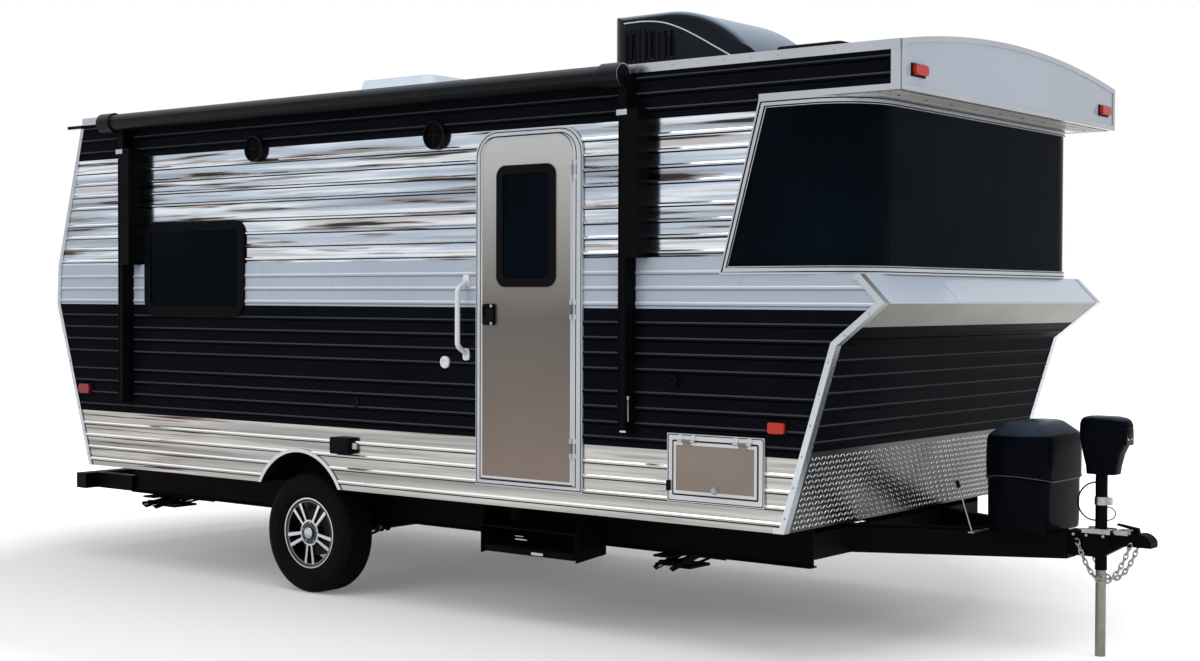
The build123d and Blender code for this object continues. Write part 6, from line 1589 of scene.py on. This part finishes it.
@dataclass
class StepDetails:
    """Grip strips and latch of the folding step."""

    x: float = 0.618
    top: float = 0.4035  # upper face of its tread
    # y of the first strip, their spacing and their number
    grips: tuple[float, float, int] = (-1.150, 0.034, 7)
    # a strip, from the middle, its y and the tread's face
    grip: Bar = ((-0.295, 0.295), (0.0, 0.012), (-0.001, 0.002))
    # the latch, from the middle
    latch: Bar = ((0.020, 0.100), (-1.1645, -1.1615), (0.378, 0.392))

    def build(self) -> None:
        """Builds the strips and the latch."""
        grips = Builder()
        first, spacing, count = self.grips
        for index in range(count):
            grips.bars(Side.LEFT, [self.grip], (self.x, first + spacing * index, self.top))
        grips.piece("step_grips", GRAINED_BLACK, "frame_steel", "step_board", bevel=0.0008)
        Builder().bars(Side.LEFT, [self.latch], (self.x, 0.0, 0.0)).piece(
            "step_latch", WHITE_TRIM, "frame_steel", "step_board", bevel=0.0012)


@dataclass
class WindowDetails:
    """Slatted blinds behind the side windows."""

    # side, x, z, width and height of each clear opening, and distance of its slats off the siding
    windows: tuple[tuple[Side, float, float, float, float, float], ...] = (
        (Side.RIGHT, -2.032, 1.900, 0.825, 0.460, -0.0132),
        (Side.LEFT, -2.032, 1.900, 0.825, 0.460, -0.030),
        (Side.LEFT, 0.420, 2.010, 0.640, 0.360, -0.030))
    pitch: float = 0.024
    slat: Span = (0.0095, 0.0012)  # half a slat's height, and its thickness
    margin: float = 0.004  # distance of a slat's ends from the opening's

    def build(self) -> None:
        """Builds the slats."""
        slats = Builder()
        half, thick = self.slat
        for side, x, z, wide, tall, out in self.windows:
            reach = wide / 2 - self.margin
            for index in range(int(tall / self.pitch)):
                slats.bars(side, [((-reach, reach), (0.0, thick), (-half, half))],
                           (x, HALF + out, z - tall / 2 + (index + 0.5) * self.pitch))
        slats.piece("window_blinds", BLIND_GREEN, "black_plastic")


@dataclass
class ChassisDetails:
    """Bolts of the springs, end caps of the rear bumper and plates of the stands."""

    axle: Span = (-1.056, 0.350)  # (x, z) of the axle
    # x of the hanger bolts, then distance from the middle and z
    hangers: tuple[Span, float, float] = ((-1.386, -0.726), 0.9135, 0.388)
    hanger: Profile = ((0.016, 0.0), (0.016, 0.009), (0.012, 0.011), (0.0, 0.011))
    u_bolts: Span = (0.855, 0.915)  # distances of a pair of U-bolts from the middle
    # radius of its bend, depth of its legs below the axle, and its rod's radius
    u_bolt: Point = (0.043, 0.064, 0.005)
    cap: Bar = ((-3.533, -3.435), (1.0085, 1.0105), (0.434, 0.532))
    stand_x: Span = (1.365, -2.780)  # x of the front and rear stands
    stand_y: float = 0.735  # their distance from the middle
    plate_x: Span = (-0.054, 0.048)  # faces of a stand's two outer plates
    # reach from the stand's middle and z of a plate's corners
    plate: tuple[Span, ...] = ((0.010, 0.421), (0.010, 0.388), (0.240, 0.344), (0.268, 0.366))
    plate_thick: float = 0.006
    drive: Span = (1.038, 0.382)  # distance from the middle and z of the drive's hexagon
    drive_section: Profile = ((0.0135, -0.030), (0.0135, -0.001), (0.0115, 0.001), (0.0, 0.001))

    def build(self) -> None:
        """Builds U-bolts round the axle, hanger bolts, bumper caps and the stands' parts."""
        bolts, caps = Builder(), Builder()
        (x, z), (bend, legs, rod) = self.axle, self.u_bolt
        places, out, height = self.hangers
        for side in Side:
            for place in places:
                bolts.turned((place, side.value * out, height), side.out, self.hanger, 6)
            for y in (side.value * distance_out for distance_out in self.u_bolts):
                arc = [(x + bend * math.cos(a), y, z + bend * math.sin(a))
                       for a in (math.pi * step / 12 for step in range(13))]
                bolts.tube([(x + bend, y, z - legs), *arc, (x - bend, y, z - legs)], rod, 8)
            caps.bars(side, [self.cap])
        bolts.piece("spring_bolts", ZINC, "zinc_steel", bevel=0.0008)
        caps.piece("bumper_caps", GRAINED_BLACK, "frame_steel", bevel=0.002)
        self.stands()

    def stands(self) -> None:
        """Adds the second pair of scissor plates and the drive's hexagon to each stand."""
        plates, drives = Builder(), Builder()
        out, z = self.drive
        for x, side in product(self.stand_x, Side):
            for face, end in product(self.plate_x, (-1, 1)):
                middle = side.value * self.stand_y
                plates.slab([Vector((x + face, middle + end * reach, height))
                             for reach, height in self.plate],
                            Vector((self.plate_thick, 0.0, 0.0)))
            drives.turned((x, side.value * out, z), side.out, self.drive_section, 6)
        plates.piece("stand_plates", CHASSIS_BLACK, "frame_steel", bevel=0.001)
        drives.piece("stand_drives", ZINC, "zinc_steel", bevel=0.0006)


@dataclass
class Studio:
    """Camera, lights, floor and pale surroundings."""

    eye: Point = (6.5878, -8.1803 + MID_Y, 1.7351)
    yaw: float = 128.065  # heading of the view, in degrees from +x
    pitch: float = -1.245  # tilt of the view, in degrees
    roll: float = 0.177  # turn about the view's axis, in degrees
    lens: float = 52.64  # focal length in mm
    sensor: float = 36.0  # sensor width in mm
    shift: float = 0.0037  # vertical shift of the frame
    reach: float = 200.0  # distance to which the camera sees
    floor_half: float = 60.0
    floor_z: float = -0.0005  # its height, just under the tyres
    floor_colour: str = "e4e4e3"
    sky_colour: str = "ffffff"  # sRGB hex of the surroundings that the camera and reflections see
    # sRGB hex and strength of the light from all round
    fill: tuple[str, float] = ("f4f6fa", 0.55)
    # name, place, target, size and power of each soft box. Reflections show only the one overhead
    boxes: tuple[tuple[str, Point, Point, float, float], ...] = (
        ("overhead", (0.5, -1.5, 7.5), (0.0, 0.0, 1.0), 9.0, 330.0),
        ("door_side", (-1.5, -10.0, 5.0), (0.0, 0.0, 1.4), 6.0, 230.0),
        ("ahead", (10.5, -1.0, 4.5), (0.5, 0.0, 1.4), 5.0, 210.0))

    def build(self) -> None:
        """Builds everything that isn't the caravan."""
        self.camera()
        self.floor()
        self.world()
        self.lights()

    def place(self, name: str, data: bpy.types.ID) -> bpy.types.Object:
        """Adds an object to the scene.

        Args:
            name: Its name.
            data: Its data.

        Returns:
            The object.
        """
        made = bpy.data.objects.new(name, data)
        bpy.context.scene.collection.objects.link(made)
        return made

    def camera(self) -> None:
        """Places the camera."""
        data = bpy.data.cameras.new("camera")
        data.lens = self.lens
        data.sensor_width = self.sensor
        data.shift_y = self.shift
        data.clip_end = self.reach
        yaw, pitch = math.radians(self.yaw), math.radians(self.pitch)
        ahead = Vector((math.cos(yaw) * math.cos(pitch), math.sin(yaw) * math.cos(pitch),
                        math.sin(pitch)))
        right = Vector((math.sin(yaw), -math.cos(yaw), 0.0))
        level = Matrix((right, right.cross(ahead), -ahead)).transposed()
        turn = Matrix.Rotation(math.radians(self.roll), 3, "Z")
        made = self.place("camera", data)
        made.matrix_world = Matrix.Translation(self.eye) @ (level @ turn).to_4x4()
        bpy.context.scene.camera = made

    def floor(self) -> None:
        """Lays a wide pale floor."""
        maker = bmesh.new()
        bmesh.ops.create_grid(maker, x_segments=1, y_segments=1, size=self.floor_half)
        data = bpy.data.meshes.new("floor")
        maker.to_mesh(data)
        maker.free()
        cover = StudioFloor("pale studio floor", self.floor_colour, self.floor_colour, 0.9,
                            relief=0.0)
        data.materials.append(cover.material())
        made = self.place("floor", data)
        made.location.z = self.floor_z
        made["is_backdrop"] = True

    def world(self) -> None:
        """Makes pale surroundings that give soft light from all round."""
        world = bpy.data.worlds.new("surroundings")
        world.use_nodes = True
        bpy.context.scene.world = world
        nodes = Nodes(world.node_tree)
        shown = nodes.add("ShaderNodeBackground",
                          {"Color": linear(self.sky_colour), "Strength": 1.0})
        light = nodes.tree.nodes["Background"]
        colour, strength = self.fill
        light.inputs["Color"].default_value = linear(colour)
        light.inputs["Strength"].default_value = strength
        rays = nodes.add("ShaderNodeLightPath").outputs
        seen = nodes.worked("MAXIMUM", rays["Is Camera Ray"], rays["Is Glossy Ray"])
        seen = nodes.worked("MAXIMUM", seen, rays["Is Transmission Ray"])
        both = nodes.add("ShaderNodeMixShader",
                         {0: seen, 1: light.outputs[0], 2: shown.outputs[0]})
        nodes.feed(nodes.tree.nodes["World Output"].inputs["Surface"], both.outputs[0])

    def lights(self) -> None:
        """Hangs the soft boxes: a wide one overhead, one before the door side, one ahead."""
        for name, place, target, size, power in self.boxes:
            data = bpy.data.lights.new(name, "AREA")
            data.shape = "SQUARE"
            data.size = size
            data.energy = power
            made = self.place(name, data)
            made.location = place
            aim = Vector(target) - Vector(place)
            made.rotation_euler = aim.to_track_quat("-Z", "Y").to_euler()
            made.visible_glossy = name == "overhead"


def corners() -> list[list[float]]:
    """Returns the whole object's box as plain lists."""
    return [[float(value) for value in corner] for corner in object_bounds()]


def main() -> None:
    """Builds and dresses the caravan, part by part."""
    logging.basicConfig(level=logging.INFO, format="%(name)s: %(message)s")
    bpy.context.scene.view_settings.view_transform = "Standard"
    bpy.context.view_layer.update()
    Studio().build()
    dress_solids()
    for part in (Tyres(), WheelFittings(), CheckerPlate(), SidingDetails(), Awning(),
                 DoorDetails(), HatchDetails(), FrontGlassDetails(), NoseDetails(), RoofDetails(),
                 Fittings(), TongueDetails(), StepDetails(), WindowDetails(), ChassisDetails()):
        part.build()


if __name__ == "__main__":
    main()
